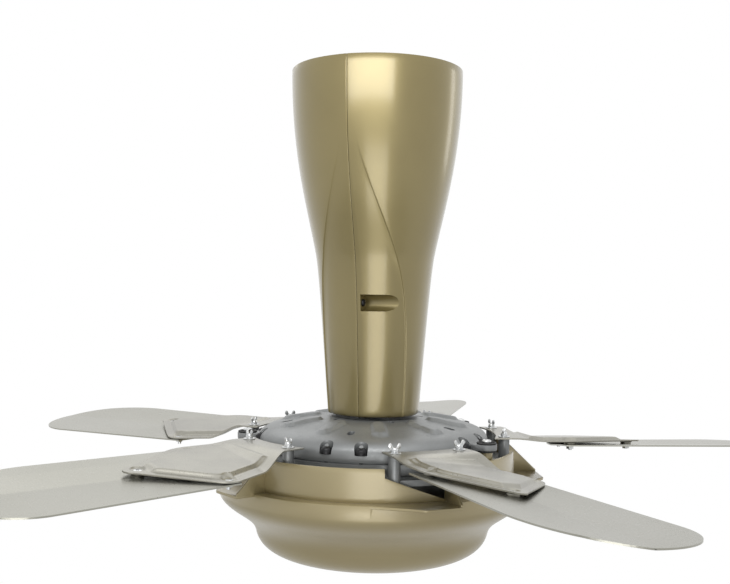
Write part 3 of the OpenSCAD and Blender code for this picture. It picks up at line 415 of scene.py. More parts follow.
def add_node(tree: bpy.types.NodeTree, kind: str, inputs: dict[str | int, object] | None = None,
             **settings: object) -> bpy.types.Node:
    """Adds a shader node with its settings, values and links.

    Args:
        tree: The node tree.
        kind: The node's type, without the words ShaderNode before it.
        inputs: Values or sockets for its inputs, by name or index.
        settings: Its own properties.

    Returns:
        The new node.
    """
    made = tree.nodes.new("ShaderNode" + kind)
    for name, value in settings.items():
        setattr(made, name, value)
    for name, value in (inputs or {}).items():
        if isinstance(value, bpy.types.NodeSocket):
            tree.links.new(value, made.inputs[name])
        else:
            made.inputs[name].default_value = value
    return made


@dataclass(frozen=True)
class Finish:
    """A real material and how its surface was made. Lengths are in millimetres.

    The colour drifts slowly between colour and tone over tone_mm. The roughness varies by spread
    with a grain of grain_mm, which also stands up by grain_depth. Level lines repeat every
    lines_mm, where there are any, as on stacked or turned metal.
    """

    name: str
    slot: str
    colour: str
    tone: str
    metallic: float
    roughness: float
    spread: float = 0.05
    tone_mm: float = 60.0
    grain_mm: float = 1.0
    grain_depth: float = 0.02
    coat: float = 0.0
    coat_roughness: float = 0.1
    lines_mm: float = 0.0
    lines_depth: float = 0.0

    def material(self) -> bpy.types.Material:
        """Makes the material at its first use, and finds it again after that.

        Returns:
            The procedural material.
        """
        known = bpy.data.materials.get(self.name)
        if known:
            return known
        made = bpy.data.materials.new(self.name)
        made.use_nodes = True
        tree = made.node_tree
        tree.nodes.clear()
        place = add_node(tree, "TexCoord").outputs["Object"]
        broad = add_node(tree, "TexNoise", {"Vector": place, "Scale": 1 / (self.tone_mm * MM),
                                            "Detail": 3.0})
        grain = add_node(tree, "TexNoise", {"Vector": place, "Scale": 1 / (self.grain_mm * MM),
                                            "Detail": 2.0})
        blend = add_node(tree, "MapRange", {"Value": broad.outputs["Fac"], "From Min": 0.35,
                                            "From Max": 0.65})
        tint = add_node(tree, "Mix", {"Factor": blend.outputs["Result"], 6: linear(self.colour),
                                      7: linear(self.tone)}, data_type="RGBA")
        speckle = add_node(tree, "MapRange", {"Value": grain.outputs["Fac"], "From Min": 0.3,
                                              "From Max": 0.7,
                                              "To Min": self.roughness - self.spread,
                                              "To Max": self.roughness + self.spread})
        relief = add_node(tree, "Bump", {"Height": grain.outputs["Fac"], "Strength": 1.0,
                                         "Distance": self.grain_depth * MM})
        if self.lines_mm:
            wave = add_node(tree, "TexWave", {"Vector": place,
                                              "Scale": WAVE_REPEAT / (self.lines_mm * MM)},
                            wave_type="BANDS", bands_direction="Z")
            relief = add_node(tree, "Bump", {"Height": wave.outputs["Fac"], "Strength": 1.0,
                                             "Distance": self.lines_depth * MM,
                                             "Normal": relief.outputs["Normal"]})
        shader = add_node(tree, "BsdfPrincipled", {
            "Base Color": tint.outputs[2], "Metallic": self.metallic,
            "Roughness": speckle.outputs["Result"], "Coat Weight": self.coat,
            "Coat Roughness": self.coat_roughness, "Normal": relief.outputs["Normal"]})
        add_node(tree, "OutputMaterial", {"Surface": shader.outputs["BSDF"]})
        return made


# Champagne metallic lacquer over moulded ABS, under clear coat: satin, with a sharper gleam on top.
# Its fine flake is drawn coarse enough to show, here and on the two below
CHAMPAGNE_ON_ABS = Finish("champagne_lacquer_on_abs", "gold_plastic", "#7a6e45", "#80744a",
                          0.6, 0.32, spread=0.03, tone_mm=90, grain_mm=1.6, grain_depth=0.005,
                          coat=0.8, coat_roughness=0.16)
# The same lacquer on the cover, sprayed more matt. Its paler colour is painted light: it stands in
# for the brighter light that falls on the bowl
CHAMPAGNE_COVER_PAINTED_LIGHT = Finish("champagne_lacquer_on_abs_cover_painted_light", "gold_plastic", "#938661", "#988c67",
                            0.5, 0.42, spread=0.03, tone_mm=90, grain_mm=1.6, grain_depth=0.005,
                            coat=1.0, coat_roughness=0.25)
# The same lacquer on the steel rod, without the clear coat
CHAMPAGNE_ON_STEEL = Finish("champagne_lacquer_on_steel", "gold_paint", "#80744a", "#867a50",
                            0.6, 0.34, spread=0.03, tone_mm=90, grain_mm=1.6, grain_depth=0.005)
# Die cast aluminium, blasted: a fine even grain and slow changes of grey
CAST_ALUMINIUM = Finish("blasted_die_cast_aluminium", "cast_aluminium", "#7e8080", "#8a8c8c",
                        0.6, 0.44, spread=0.08, tone_mm=35, grain_mm=1.4, grain_depth=0.05)
# Aluminium sheet with a satin silver powder coat: faint orange peel
SILVER_SHEET = Finish("satin_powder_coated_aluminium", "blade_sheet", "#9c9b91", "#a2a198",
                      0.9, 0.3, spread=0.03, tone_mm=120, grain_mm=2.2, grain_depth=0.008)
# Pressed steel with a warm grey satin paint
PRESSED_STEEL = Finish("satin_painted_pressed_steel", "bracket_steel", "#94928a", "#a09e94",
                       0.7, 0.3, spread=0.03, tone_mm=40, grain_mm=1.8, grain_depth=0.004)
# Zinc plate, clear passivated: bright and slightly cloudy
ZINC_PLATE = Finish("clear_passivated_zinc_plate", "zinc_steel", "#b9bbbc", "#cfd0cf", 1.0, 0.26,
                    spread=0.08, tone_mm=9, grain_mm=1.2, grain_depth=0.02)
# Black zinc on screws: dark, with a soft gleam
BLACK_ZINC = Finish("black_zinc_plate", "dark_steel", "#1d1d1e", "#2a2a2b", 0.7, 0.36,
                    spread=0.08, tone_mm=5, grain_mm=0.8, grain_depth=0.02)
# Turned and ground steel with fine rings from the lathe
TURNED_STEEL = Finish("turned_ground_steel", "shaft_steel", "#9a9da0", "#acaeb1", 1.0, 0.22,
                      spread=0.05, tone_mm=25, grain_mm=0.9, grain_depth=0.01,
                      lines_mm=1.0, lines_depth=0.01)
# Stacked sheets of electrical steel: dark edges in layers, drawn thicker than 0.5 mm to show
STACKED_STEEL = Finish("stacked_electrical_steel", "core_steel", "#4f5254", "#63666a", 0.9, 0.4,
                       spread=0.08, tone_mm=20, grain_mm=1.0, grain_depth=0.02,
                       lines_mm=1.2, lines_depth=0.12)
# Enamelled copper wire of 0.9 mm, wound in layers: glossy, with round ridges
COPPER_WIRE = Finish("enamelled_copper_winding", "copper_wire", "#9c5a2b", "#b06a34", 0.85, 0.3,
                     spread=0.08, tone_mm=8, grain_mm=1.0, grain_depth=0.02,
                     coat=0.5, coat_roughness=0.08, lines_mm=0.9, lines_depth=0.3)
# Sintered ferrite: dark grey and dull
FERRITE = Finish("sintered_ferrite", "magnet", "#38393b", "#45474a", 0.3, 0.55,
                 spread=0.08, tone_mm=14, grain_mm=1.0, grain_depth=0.05)
# Moulded rubber: black, dull, with a dusty bloom
MOULDED_RUBBER = Finish("moulded_black_rubber", "rubber", "#161616", "#222221", 0.0, 0.62,
                        spread=0.1, tone_mm=6, grain_mm=0.9, grain_depth=0.05)
# Moulded nylon: off-white, slightly waxy
NYLON = Finish("moulded_nylon", "nylon", "#d8d4c6", "#dedace", 0.0, 0.42,
               spread=0.06, tone_mm=12, grain_mm=1.2, grain_depth=0.03)
# Moulded flame-proof ABS of the driver's case: fine spark texture
CASE_ABS = Finish("spark_textured_abs", "case_plastic", "#cdcabf", "#d4d1c7", 0.0, 0.5,
                  spread=0.06, tone_mm=30, grain_mm=1.0, grain_depth=0.06)
# Glass fibre board under green solder mask: smooth, with a clear gloss
SOLDER_MASK = Finish("green_solder_mask", "board", "#1d4a2c", "#245a35", 0.0, 0.3,
                     spread=0.06, tone_mm=10, grain_mm=1.0, grain_depth=0.04, coat=0.4)
# Matt emulsion paint on the studio floor: near white, without any gleam
FLOOR_PAINT = Finish("matt_floor_paint", "", "#f1f1ef", "#efefed", 0.0, 0.8,
                     tone_mm=900, grain_mm=6, grain_depth=0.01)


def dress(node: str, finish: Finish) -> None:
    """Gives a CAD node a finish.

    Args:
        node: The node's name.
        finish: Its finish.
    """
    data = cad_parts[node].data
    data.materials.clear()
    data.materials.append(finish.material())


def show(name: str, mesh: BMesh, finish: Finish, body: Body, replaced: str,
         crease: float = 35.0) -> None:
    """Makes a finished piece from a mesh in millimetres.

    Args:
        name: The piece's name.
        mesh: Its mesh, which is freed.
        finish: Its material.
        body: The body that it rides on.
        replaced: The CAD node that it stands for.
        crease: Edges sharper than this angle stay sharp in shading, in degrees.
    """
    bmesh.ops.scale(mesh, vec=(MM, MM, MM), verts=mesh.verts)
    data = to_data(name, mesh)
    data.shade_smooth()
    data.set_sharp_from_angle(angle=math.radians(crease))
    data.materials.append(finish.material())
    made = new_object(name, data)
    dress(replaced, finish)
    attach(made, body.value)
    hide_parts(replaced)
    log.info("%s: %d faces on %s, finish %s", name, len(data.polygons), body.value, finish.name)


@dataclass(frozen=True)
class Screw:
    """A screw with a head. It stands on z = 0, its shank below; a sunk head ends there."""

    head_d: float
    head_h: float
    shank_d: float
    shank_l: float
    recess: float
    sunk: bool = False
    tip: float = 0.4
    rim: float = 0.3
    edge_share: float = 0.35
    crown: float = 0.3
    recess_depth: float = 1.6
    recess_share: float = 0.24

    def mesh(self) -> BMesh:
        """Builds the screw with its cross recess.

        Returns:
            The closed mesh.
        """
        r, h, s = self.head_d / 2, self.head_h, self.shank_d / 2
        shank = [(0.0, -self.shank_l), (s - self.tip, -self.shank_l), (s, self.tip - self.shank_l)]
        if self.sunk:
            head = [(s, -h), (r - 0.2, -0.2), (r, 0.0), (r - 0.2, 0.12), (r * 0.5, 0.25),
                    (0.0, self.crown)]
        else:
            head = [(s, 0.0), (r - self.rim, 0.0), (r, self.rim)]
            head += [(r * math.cos(a), h * mix(self.edge_share, 1.0, math.sin(a)))
                     for a in (math.radians(t) for t in range(0, 90, 15))]
            head += [(0.0, h)]
        made = spin(shank + head, steps=32)
        depth, width = self.recess_depth, self.recess * self.recess_share
        middle = (0, 0, (self.crown if self.sunk else h) - depth / 2 + 0.2)
        cross = combine(block((self.recess, width, depth), middle),
                        block((width, self.recess, depth), middle), Cut.JOIN)
        return combine(made, cross, Cut.REMOVE)


@dataclass
class Canopy:
    """The vase-shaped canopy: two moulded halves with a leaf-shaped panel on each seam."""

    top_z: float = -6.0
    height: float = 382.0
    top_r: float = 95.5
    waist_r: float = 66.5
    waist_drop: float = 205.0
    base_r: float = 50.5
    wall: float = 2.5
    seam_gap: float = 0.3
    seam_angle: float = 253.0
    panel_depth: float = 2.6
    panel_setback: float = 8.0
    panel_start: float = 85.0
    panel_full: float = 290.0
    ledge_start: float = 120.0
    ledge_full: float = 270.0
    ledge_low: float = 0.25
    ledge_high: float = 1.5
    ledge_w: float = 1.4
    ledge_fade: float = 30.0
    keel_h: float = 0.5
    keel_half: float = 13.0
    # Half angle of the panel at depths below the rim
    ledge_line: tuple[Point, ...] = ((80.0, 5.0), (106.0, 9.0), (143.0, 18.3), (171.0, 27.0),
                                     (195.0, 36.0), (223.0, 45.5), (250.0, 51.5), (290.0, 57.0),
                                     (350.0, 60.0))
    panel_columns: int = 13
    ledge_columns: int = 6
    columns: int = 72
    floor_t: float = 2.5
    floor_hole_r: float = 33.0
    base_round: float = 3.5
    rib_drop: float = 369.3
    rib_w: float = 5.0
    rib_t: float = 3.0
    pocket_drop: float = 258.0
    pocket_d: float = 18.0
    pocket_wall: float = 2.2
    pocket_start: float = 4.0
    pocket_l: float = 44.0
    pocket_reach: float = 50.0
    pocket_mouth: float = 20.0
    room_half: float = 25.0
    room_steps: int = 20
    boss_d: float = 16.0
    boss_l: float = 14.0
    skin_gap: float = 0.3
    screw: Screw = Screw(head_d=8.0, head_h=3.0, shank_d=4.0, shank_l=14.0, recess=4.6)

    def __post_init__(self) -> None:
        """Works out the canopy's outline from its sizes."""
        upper = [(0.0, self.top_r), (95.0, self.top_r), (self.waist_drop - 47, self.waist_r + 9),
                 (self.waist_drop, self.waist_r)]
        lower = [(self.waist_drop, self.waist_r), (self.waist_drop + 25, self.waist_r - 4.8),
                 (self.height - 52, self.base_r + 4.5), (self.height, self.base_r)]
        self.line = bezier(upper, 30) + bezier(lower, 24)[1:]
        self.place = Matrix.Translation((0, 0, self.top_z)) @ turned(self.seam_angle)

    def radius(self, depth: float) -> float:
        """Radius of the round form at a depth below the top rim."""
        return lookup(depth, self.line)

    def panel_cut(self, depth: float) -> float:
        """How far the panel lies below the round form at a depth."""
        share = (depth - self.panel_start) / (self.panel_full - self.panel_start)
        return self.panel_depth * smooth(share)

    def ledge(self, depth: float) -> float:
        """Gives the height of the step along the panel's edge.

        Args:
            depth: Depth below the top rim.

        Returns:
            The height.
        """
        rise = smooth((depth - self.ledge_start) / (self.ledge_full - self.ledge_start))
        fade = smooth((depth - self.panel_start) / self.ledge_fade)
        return mix(self.ledge_low, self.ledge_high, rise) * fade

    def ledge_turn(self, depth: float) -> float:
        """Width of that step as an angle in degrees."""
        return math.degrees(self.ledge_w / self.radius(depth))

    def panel_angle(self, depth: float) -> float:
        """Half angle of the panel at a depth, in degrees, evened out over 24 mm."""
        return sum(lookup(depth + d, self.ledge_line) for d in (-12, -6, 0, 6, 12)) / 5

    def skin(self, depth: float, angle: float) -> float:
        """Gives the outside of the wall, with panel, ledge and the low keel on the seam.

        Args:
            depth: Depth below the top rim.
            angle: Angle from the front seam, in degrees.

        Returns:
            The skin's distance from the axis.
        """
        from_seam = min(angle, 180 - angle)
        keel = self.keel_h * (1 - min(1.0, from_seam / self.keel_half)) ** 2
        r, back = self.radius(depth) + keel, self.panel_setback
        own = r - self.panel_cut(depth) + back
        flat = [math.sqrt(own ** 2 - (back * math.sin(a)) ** 2) - back * math.cos(a)
                for a in (math.radians(angle), math.radians(180 - angle))]
        inside = self.panel_angle(depth) - from_seam
        return min(r, *flat) - self.ledge(depth) * smooth(inside / self.ledge_turn(depth))

    def column_angle(self, depth: float, share: float) -> float:
        """Gives the angle of a column; they lie closer together at both creases.

        Args:
            depth: Depth below the top rim.
            share: The column's place from the front seam, 0, to the rear seam, 1.

        Returns:
            Its angle in degrees.
        """
        if share > 0.5:
            return 180.0 - self.column_angle(depth, 1 - share)
        panel, ledge = self.panel_angle(depth), self.ledge_turn(depth)
        edge = self.panel_columns / self.columns
        foot = (self.panel_columns - self.ledge_columns) / self.columns
        if share <= foot + ROUNDING:
            return (panel - ledge) * min(1.0, share / foot)
        if share <= edge + ROUNDING:
            return panel - ledge * (1 - (share - foot) / (edge - foot))
        t = (share - edge) / (1 - 2 * edge)
        return mix(panel, 180 - panel, 0.25 * t + 0.375 * (1 - math.cos(math.pi * t)))

    def section(self) -> list[Point]:
        """Gives the wall's section with its foot, its part of the floor and the collar's rib.

        Returns:
            Points as (radius, height), with the top rim at height 0.
        """
        inside, rib_top = self.base_r - self.wall, self.rib_drop - self.rib_t
        round_drop = self.height - self.base_round
        outer = [(r, -d) for d, r in self.line if d < round_drop - 1]
        foot_centre = (self.radius(round_drop) - self.base_round, -round_drop)
        foot = arc(foot_centre, self.base_round, 0, -90)
        under = [(self.floor_hole_r, -self.height), (self.floor_hole_r, self.floor_t - self.height),
                 (inside, self.floor_t - self.height), (inside, -self.rib_drop),
                 (inside - self.rib_w, -self.rib_drop), (inside - self.rib_w, -rib_top),
                 (self.radius(rib_top) - self.wall, -rib_top)]
        inner = [(r - self.wall, -d) for d, r in reversed(self.line) if d < rib_top - 1]
        return outer + foot + under + inner

    def shell(self) -> BMesh:
        """Builds one half, from the front seam round to the rear seam.

        Returns:
            The closed mesh in the canopy's own frame, its top rim at z = 0.
        """
        half = spin(self.section(), steps=self.columns, turn=180)
        bmesh.ops.holes_fill(half, edges=[e for e in half.edges if e.is_boundary], sides=0)
        for v in half.verts:
            depth, r = -v.co.z, math.hypot(v.co.x, v.co.y)
            gap = self.radius(depth) - r
            angle = abs(math.degrees(math.atan2(v.co.y, v.co.x)))
            turn = self.column_angle(depth, angle / 180)
            # The wall follows the skin; the floor's hole stays round
            if gap < 4 * self.wall:
                r = self.skin(depth, turn) - gap
            turn = math.radians(turn)
            v.co = Vector((r * math.cos(turn), r * math.sin(turn), v.co.z))
        bmesh.ops.recalc_face_normals(half, faces=half.faces)
        soften(half, 0.5, angle=50)
        bmesh.ops.translate(half, vec=(0, self.seam_gap / 2, 0), verts=half.verts)
        return half

    def seam_place(self, side: int, start: float) -> Matrix:
        """Place on a screw's axis, with Z along it; side is 1 at the front and -1 at the rear."""
        spot = Matrix.Translation((side * self.pocket_reach, start, -self.pocket_drop))
        return spot @ TOWARDS_REAR

    def at_seams(self, start: float, diameter: float, length: float, mouth: float = 0.0) -> BMesh:
        """Makes a bar along the screw of each seam.

        Args:
            start: Where it starts, from the seam.
            diameter: Its diameter.
            length: Its length.
            mouth: How far it runs on outwards with straight sides.

        Returns:
            The two closed bars.
        """
        half = diameter / 2
        outline = arc((0.0, 0.0), half, 90, 270, 24) + arc((mouth, 0.0), half, -90, 90, 24)
        return gather(plate(outline, length, self.seam_place(side, start) @ turned(90 - 90 * side))
                      for side in (-1, 1))

    def room(self) -> BMesh:
        """Makes the space just inside the skin around the screws.

        Returns:
            The closed mesh.
        """
        depths = [self.pocket_drop + self.room_half * (2 * i / self.room_steps - 1)
                  for i in range(self.room_steps + 1)]
        side = [(self.radius(d) - self.panel_cut(d) - self.ledge(d) - self.skin_gap, -d)
                for d in depths]
        return spin([(0.0, -depths[0])] + side + [(0.0, -depths[-1])])

    def right_half(self) -> BMesh:
        """Builds the half with the screw pockets and the cups around them.

        Returns:
            The closed mesh.
        """
        cups = self.at_seams(self.seam_gap / 2, self.pocket_d + 2 * self.pocket_wall,
                             self.pocket_start + self.pocket_l)
        half = combine(self.shell(), combine(cups, self.room(), Cut.KEEP), Cut.JOIN)
        pockets = self.at_seams(self.pocket_start, self.pocket_d, self.pocket_l, self.pocket_mouth)
        return combine(half, pockets, Cut.REMOVE)

    def left_half(self) -> BMesh:
        """Builds the half with the bosses that the screws go into.

        Returns:
            The closed mesh.
        """
        half = self.shell()
        bmesh.ops.scale(half, vec=(1, -1, 1), verts=half.verts)
        bmesh.ops.reverse_faces(half, faces=half.faces)
        bosses = self.at_seams(-self.boss_l, self.boss_d, self.boss_l - self.seam_gap / 2)
        return combine(half, combine(bosses, self.room(), Cut.KEEP), Cut.JOIN)

    def build(self) -> None:
        """Builds the two halves and their screws."""
        for name, mesh in (("canopy_right", self.right_half()), ("canopy_left", self.left_half())):
            show(name + "_moulding", moved(mesh, self.place), CHAMPAGNE_ON_ABS, Body.PENDANT, name,
                 crease=40)
        seats = [self.place @ self.seam_place(side, self.pocket_start) for side in (-1, 1)]
        show("canopy_joining_screws", copies(self.screw.mesh(), seats), BLACK_ZINC, Body.PENDANT,
             "canopy_screws")


@dataclass
class MotorHousing:
    """The cast upper housing with its lobes, screws, lugs and rubber bushes."""

    radius: float = 128.0
    height: float = 31.5
    wall: float = 4.0
    bore_r: float = 17.0
    seat_r: float = 21.05
    hub_r: float = 26.0
    seat_h: float = 12.0
    lobe_count: int = 10
    lobe_l: float = 46.0
    lobe_w: float = 17.0
    lobe_r: float = 83.0
    lobe_rise: float = 3.6
    lobe_skirt: float = 0.8
    lobe_slope: float = 4.2
    lobe_zone: tuple[float, float] = (50.0, 112.0)
    screw_turn: float = 8.3
    pocket_d: float = 14.0
    pocket_drop: float = 24.0
    pocket_inset: float = 3.0
    hole_d: float = 4.4
    boss_d: float = 19.0
    boss_inset: float = 0.6
    lug_t: float = 6.0
    lug_drop: float = 21.5
    lug_rim: float = 3.0
    lug_root: float = 18.0
    bush_d: float = 16.0
    bush_gap: float = 0.05
    bush_hole_r: float = 2.6
    bush_core_r: float = 5.0
    bush_lip: float = 2.5
    bush_rise: float = 2.0
    bush_web: float = 0.7
    spoke_count: int = 6
    # Slots as length, width and distance from the axis: between the blades, and on their lines
    between_slot: tuple[float, float, float] = (13.0, 7.0, 96.0)
    line_slot: tuple[float, float, float] = (9.0, 5.0, 52.0)
    cover_screw: Screw = Screw(head_d=10.0, head_h=3.0, shank_d=5.0, shank_l=22.0, recess=5.2)
    domed_screw: Screw = Screw(head_d=12.6, head_h=8.0, shank_d=4.0, shank_l=18.0, recess=5.0)

    def __post_init__(self) -> None:
        """Works out the outline of the casting from its sizes."""
        r = self.radius
        slope = [(50.0, 0.0), (r - 53, -2.5), (r - 28, -7.0)]
        # Points 1.5 mm apart carry the lobes
        dense = [(x / 2, lookup(x / 2, slope)) for x in range(100, 2 * int(r - 28), 3)]
        shoulder = bezier([(r - 28, -7.0), (r - 12, -9.5), (r, -13.0), (r, -24.0)], 14)
        self.line = dense + shoulder + [(r, -27.0), (r, -self.height)]

    def at_screws(self, height: float) -> list[Matrix]:
        """Places on the axes of the ten screws that hold the housings together, at a height."""
        return [turned(BLADE_PHASE + (i + 0.5) * BLADE_STEP + side * self.screw_turn,
                       self.radius - self.pocket_inset, height)
                for i in range(BLADE_COUNT) for side in (-1, 1)]

    def lobe_height(self, place: Vector) -> float:
        """Gives how much a raised lobe lifts the top face.

        Args:
            place: A place on the top face.

        Returns:
            The lift, 0 between the lobes.
        """
        pitch = 360 / self.lobe_count
        turn = math.degrees(math.atan2(place.y, place.x)) - BLADE_PHASE - BLADE_STEP / 4
        turn = math.radians((turn + pitch / 2) % pitch - pitch / 2)
        r = math.hypot(place.x, place.y)
        beyond = abs(r * math.cos(turn) - self.lobe_r) - (self.lobe_l - self.lobe_w) / 2
        inside = self.lobe_w / 2 - math.hypot(max(0.0, beyond), r * math.sin(turn))
        return self.lobe_rise * smooth((inside + self.lobe_skirt) / self.lobe_slope)

    def bell(self) -> BMesh:
        """Builds the turned form with its bearing seat and its lobes.

        Returns:
            The closed mesh, its top face at z = 0.
        """
        wall, seat_z = self.wall, -2 * self.wall - self.seat_h
        under = list(reversed(offset(self.line[::3] + self.line[-1:], -wall)))
        inside = [(self.hub_r, -wall), (self.hub_r, seat_z), (self.seat_r, seat_z),
                  (self.seat_r, -2 * wall), (self.bore_r, -2 * wall)]
        bell = spin([(self.bore_r, 0.0)] + self.line + under + inside, steps=240)
        start, end = self.lobe_zone
        for v in bell.verts:
            r = math.hypot(v.co.x, v.co.y)
            if start < r < end and v.co.z > lookup(r, self.line) - 1.0:
                v.co.z += self.lobe_height(v.co)
        return soften(bell, 0.6, angle=50)

    def bosses(self) -> BMesh:
        """Builds the bosses of the screws, kept within the housing's outline.

        Returns:
            The closed mesh.
        """
        inset, foot = self.boss_inset, 0.2 - self.height
        room = spin([(0.0, -inset)] + [(x - inset, z - inset) for x, z in self.line[:-1]]
                    + [(self.radius - inset, foot), (0.0, foot)], steps=120)
        bars = copies(rod(self.boss_d, self.height), self.at_screws(-self.height))
        return combine(bars, room, Cut.KEEP)

    def lugs(self) -> BMesh:
        """Builds the three lugs that hold the bushes.

        Returns:
            The closed meshes.
        """
        width = self.bush_d + 2 * self.lug_rim
        root = block((self.lug_root, width, self.lug_t), (-self.lug_root / 2, 0, self.lug_t / 2))
        lug = soften(combine(rod(width, self.lug_t), root, Cut.JOIN), 0.8, angle=50)
        return copies(lug, at_lugs(-self.lug_drop - self.lug_t / 2))

    def slot(self, size: Sequence[float], turn: Matrix) -> BMesh:
        """Makes a cutter for a slot with round ends, lying outwards.

        Args:
            size: Its length, its width and its distance from the axis.
            turn: Its azimuth.

        Returns:
            The closed mesh.
        """
        length, width, radius = size
        reach = (length - width) / 2
        outline = arc((reach, 0), width / 2, -90, 90, 10) + arc((-reach, 0), width / 2, 90, 270, 10)
        return plate(outline, 30.0, turn @ Matrix.Translation((radius, 0, -20)))

    def casting(self) -> BMesh:
        """Builds the upper housing in its own frame, its top face at z = 0.

        Returns:
            The closed mesh.
        """
        bell = combine(self.bell(), self.bosses(), Cut.JOIN)
        bell = combine(bell, self.lugs(), Cut.JOIN)
        holes = [copies(rod(self.pocket_d, 30), self.at_screws(-self.pocket_drop)),
                 copies(rod(self.hole_d, 20), self.at_screws(-self.height - 2)),
                 copies(rod(self.bush_d, 20), at_lugs(-self.lug_drop - 10))]
        bell = combine(bell, gather(holes), Cut.REMOVE)
        slots = [self.slot(self.between_slot, blade_turn(i + 0.5)) for i in range(BLADE_COUNT)]
        slots += [self.slot(self.line_slot, blade_turn(i)) for i in range(BLADE_COUNT)]
        return combine(bell, gather(slots), Cut.REMOVE)

    def bush(self) -> BMesh:
        """Builds one rubber bush with a spoked flange on each side, about its own middle.

        Returns:
            The mesh of its closed forms.
        """
        half, out = self.lug_t / 2 + self.bush_gap, self.bush_d / 2 + self.bush_lip
        top, web = half + self.bush_rise, half + self.bush_web
        upper = [(self.bush_d / 2 - 0.1, half), (out - 0.6, half)]
        upper += arc((out - 1.0, top - 1.0), 1.0, -80, 90)
        upper += [(out - 2.0, top), (out - 2.2, web), (self.bush_core_r, web),
                  (self.bush_core_r, top), (self.bush_hole_r, top)]
        spoke = (out - 5.6, 1.5, 1.3)
        spokes = [copies(soften(block(spoke, ((out + 2.4) / 2, 0, side * (half + 1.2))), 0.3),
                         [turned(360 / self.spoke_count * k) for k in range(self.spoke_count)])
                  for side in (-1, 1)]
        lower = [(r, -z) for r, z in reversed(upper)]
        return gather([spin(lower + upper, steps=48), *spokes])

    def build(self) -> None:
        """Builds the casting, the bushes and the screws of the housing."""
        lift = Matrix.Translation((0, 0, BELL_TOP_Z))
        show("upper_housing_casting", moved(self.casting(), lift), CAST_ALUMINIUM, Body.ROTOR,
             "upper_housing")
        lug_z = BELL_TOP_Z - self.lug_drop
        show("spoked_lug_bushes", copies(self.bush(), at_lugs(lug_z)), MOULDED_RUBBER, Body.ROTOR,
             "lug_bushes")
        head_z = lug_z + self.lug_t / 2 + self.bush_rise + 0.1
        show("cover_mounting_screws", copies(self.cover_screw.mesh(), at_lugs(head_z)), ZINC_PLATE,
             Body.ROTOR, "cover_screws")
        # Every recess ends up at another angle
        seats = [seat @ turned(25 * k)
                 for k, seat in enumerate(self.at_screws(BELL_TOP_Z - self.pocket_drop))]
        show("domed_housing_screws", copies(self.domed_screw.mesh(), seats), BLACK_ZINC, Body.ROTOR,
             "housing_screws")


@dataclass
class Blade:
    """A folded sheet blade: a narrow leading strip, a wide middle face and a trailing face."""

    sweep_r: float = 469.8
    root_r: float = 208.0
    lead_w: float = 50.0
    trail_w: float = 92.0
    strip_w: float = 24.0
    main_w: float = 43.0
    strip_slope: float = 7.0
    main_slope: float = 8.5
    trail_slope: float = 4.0
    thickness: float = 1.5
    tip_v: float = 15.0
    root_corner: Point = (222.0, 76.0)
    root_flat_v: float = 30.0
    fold_width: float = 1.2

    def __post_init__(self) -> None:
        """Works out the folds, the section and the tip from the blade's sizes."""
        self.fold_a = self.strip_w - self.lead_w
        self.fold_b = self.fold_a + self.main_w
        drop_a = self.strip_w * math.tan(math.radians(self.strip_slope))
        drop_b = drop_a + self.main_w * math.tan(math.radians(self.main_slope))
        drop_c = drop_b + (self.trail_w - self.fold_b) * math.tan(math.radians(self.trail_slope))
        self.section = [(-self.lead_w, 0.0), (self.fold_a, -drop_a), (self.fold_b, -drop_b),
                        (self.trail_w, -drop_c)]
        tip = math.sqrt(self.sweep_r ** 2 - self.tip_v ** 2)
        lead = bezier([(-self.lead_w, tip - 90), (2 - self.lead_w, tip - 50),
                       (22 - self.lead_w, tip - 8), (self.tip_v, tip)], 22)
        trail = bezier([(self.tip_v, tip), (self.tip_v + 32, tip + 3), (self.trail_w, tip - 16),
                        (self.trail_w, tip - 60)], 22)
        tip_line = lead + trail[1:]
        folds = [(v, lookup(v, tip_line)) for v in (self.fold_a, self.fold_b)]
        near = [p for p in tip_line if all(abs(p[0] - f[0]) > 1.5 for f in folds)]
        self.ends = sorted(near + folds)

    def height(self, v: float) -> float:
        """Height of the blade's top face at a place across it."""
        return BLADE_LEAD_Z + lookup(v, self.section)

    def slope(self, v: float) -> float:
        """Slope of the face at a place across the blade, in degrees."""
        behind = self.main_slope if v < self.fold_b else self.trail_slope
        return self.strip_slope if v < self.fold_a else behind

    def root(self, v: float) -> Point:
        """Gives the root end of a column.

        Args:
            v: Where the column ends on the tip, across the blade.

        Returns:
            Its distance from the axis and its place across the blade.
        """
        corner_r, corner_v = self.root_corner
        if v > self.fold_b:
            v = mix(self.fold_b, corner_v, (v - self.fold_b) / (self.trail_w - self.fold_b))
        share = max(0.0, (v - self.root_flat_v) / (corner_v - self.root_flat_v))
        return self.root_r + (corner_r - self.root_r) * share ** 1.8, v

    def mesh(self) -> BMesh:
        """Builds the blade in its own frame, its line along X.

        Returns:
            The closed mesh.
        """
        last = len(self.ends) - 1

        def where(along: float, across: float) -> Vector:
            """Gives a place on the blade's top face.

            Args:
                along: Share of the way from root to tip.
                across: Share of the way from the leading to the trailing edge.

            Returns:
                The place.
            """
            v1, u1 = self.ends[round(across * last)]
            u0, v0 = self.root(v1)
            v = mix(v0, v1, along)
            return Vector((mix(u0, u1, along), v, self.height(v)))

        blade = sheet(40, last, self.thickness, where)
        soften(blade, self.fold_width, segments=3, angle=0.8,
               where=lambda edge: math.degrees(edge.calc_face_angle()) < 20)
        return soften(blade, 0.35, angle=50)


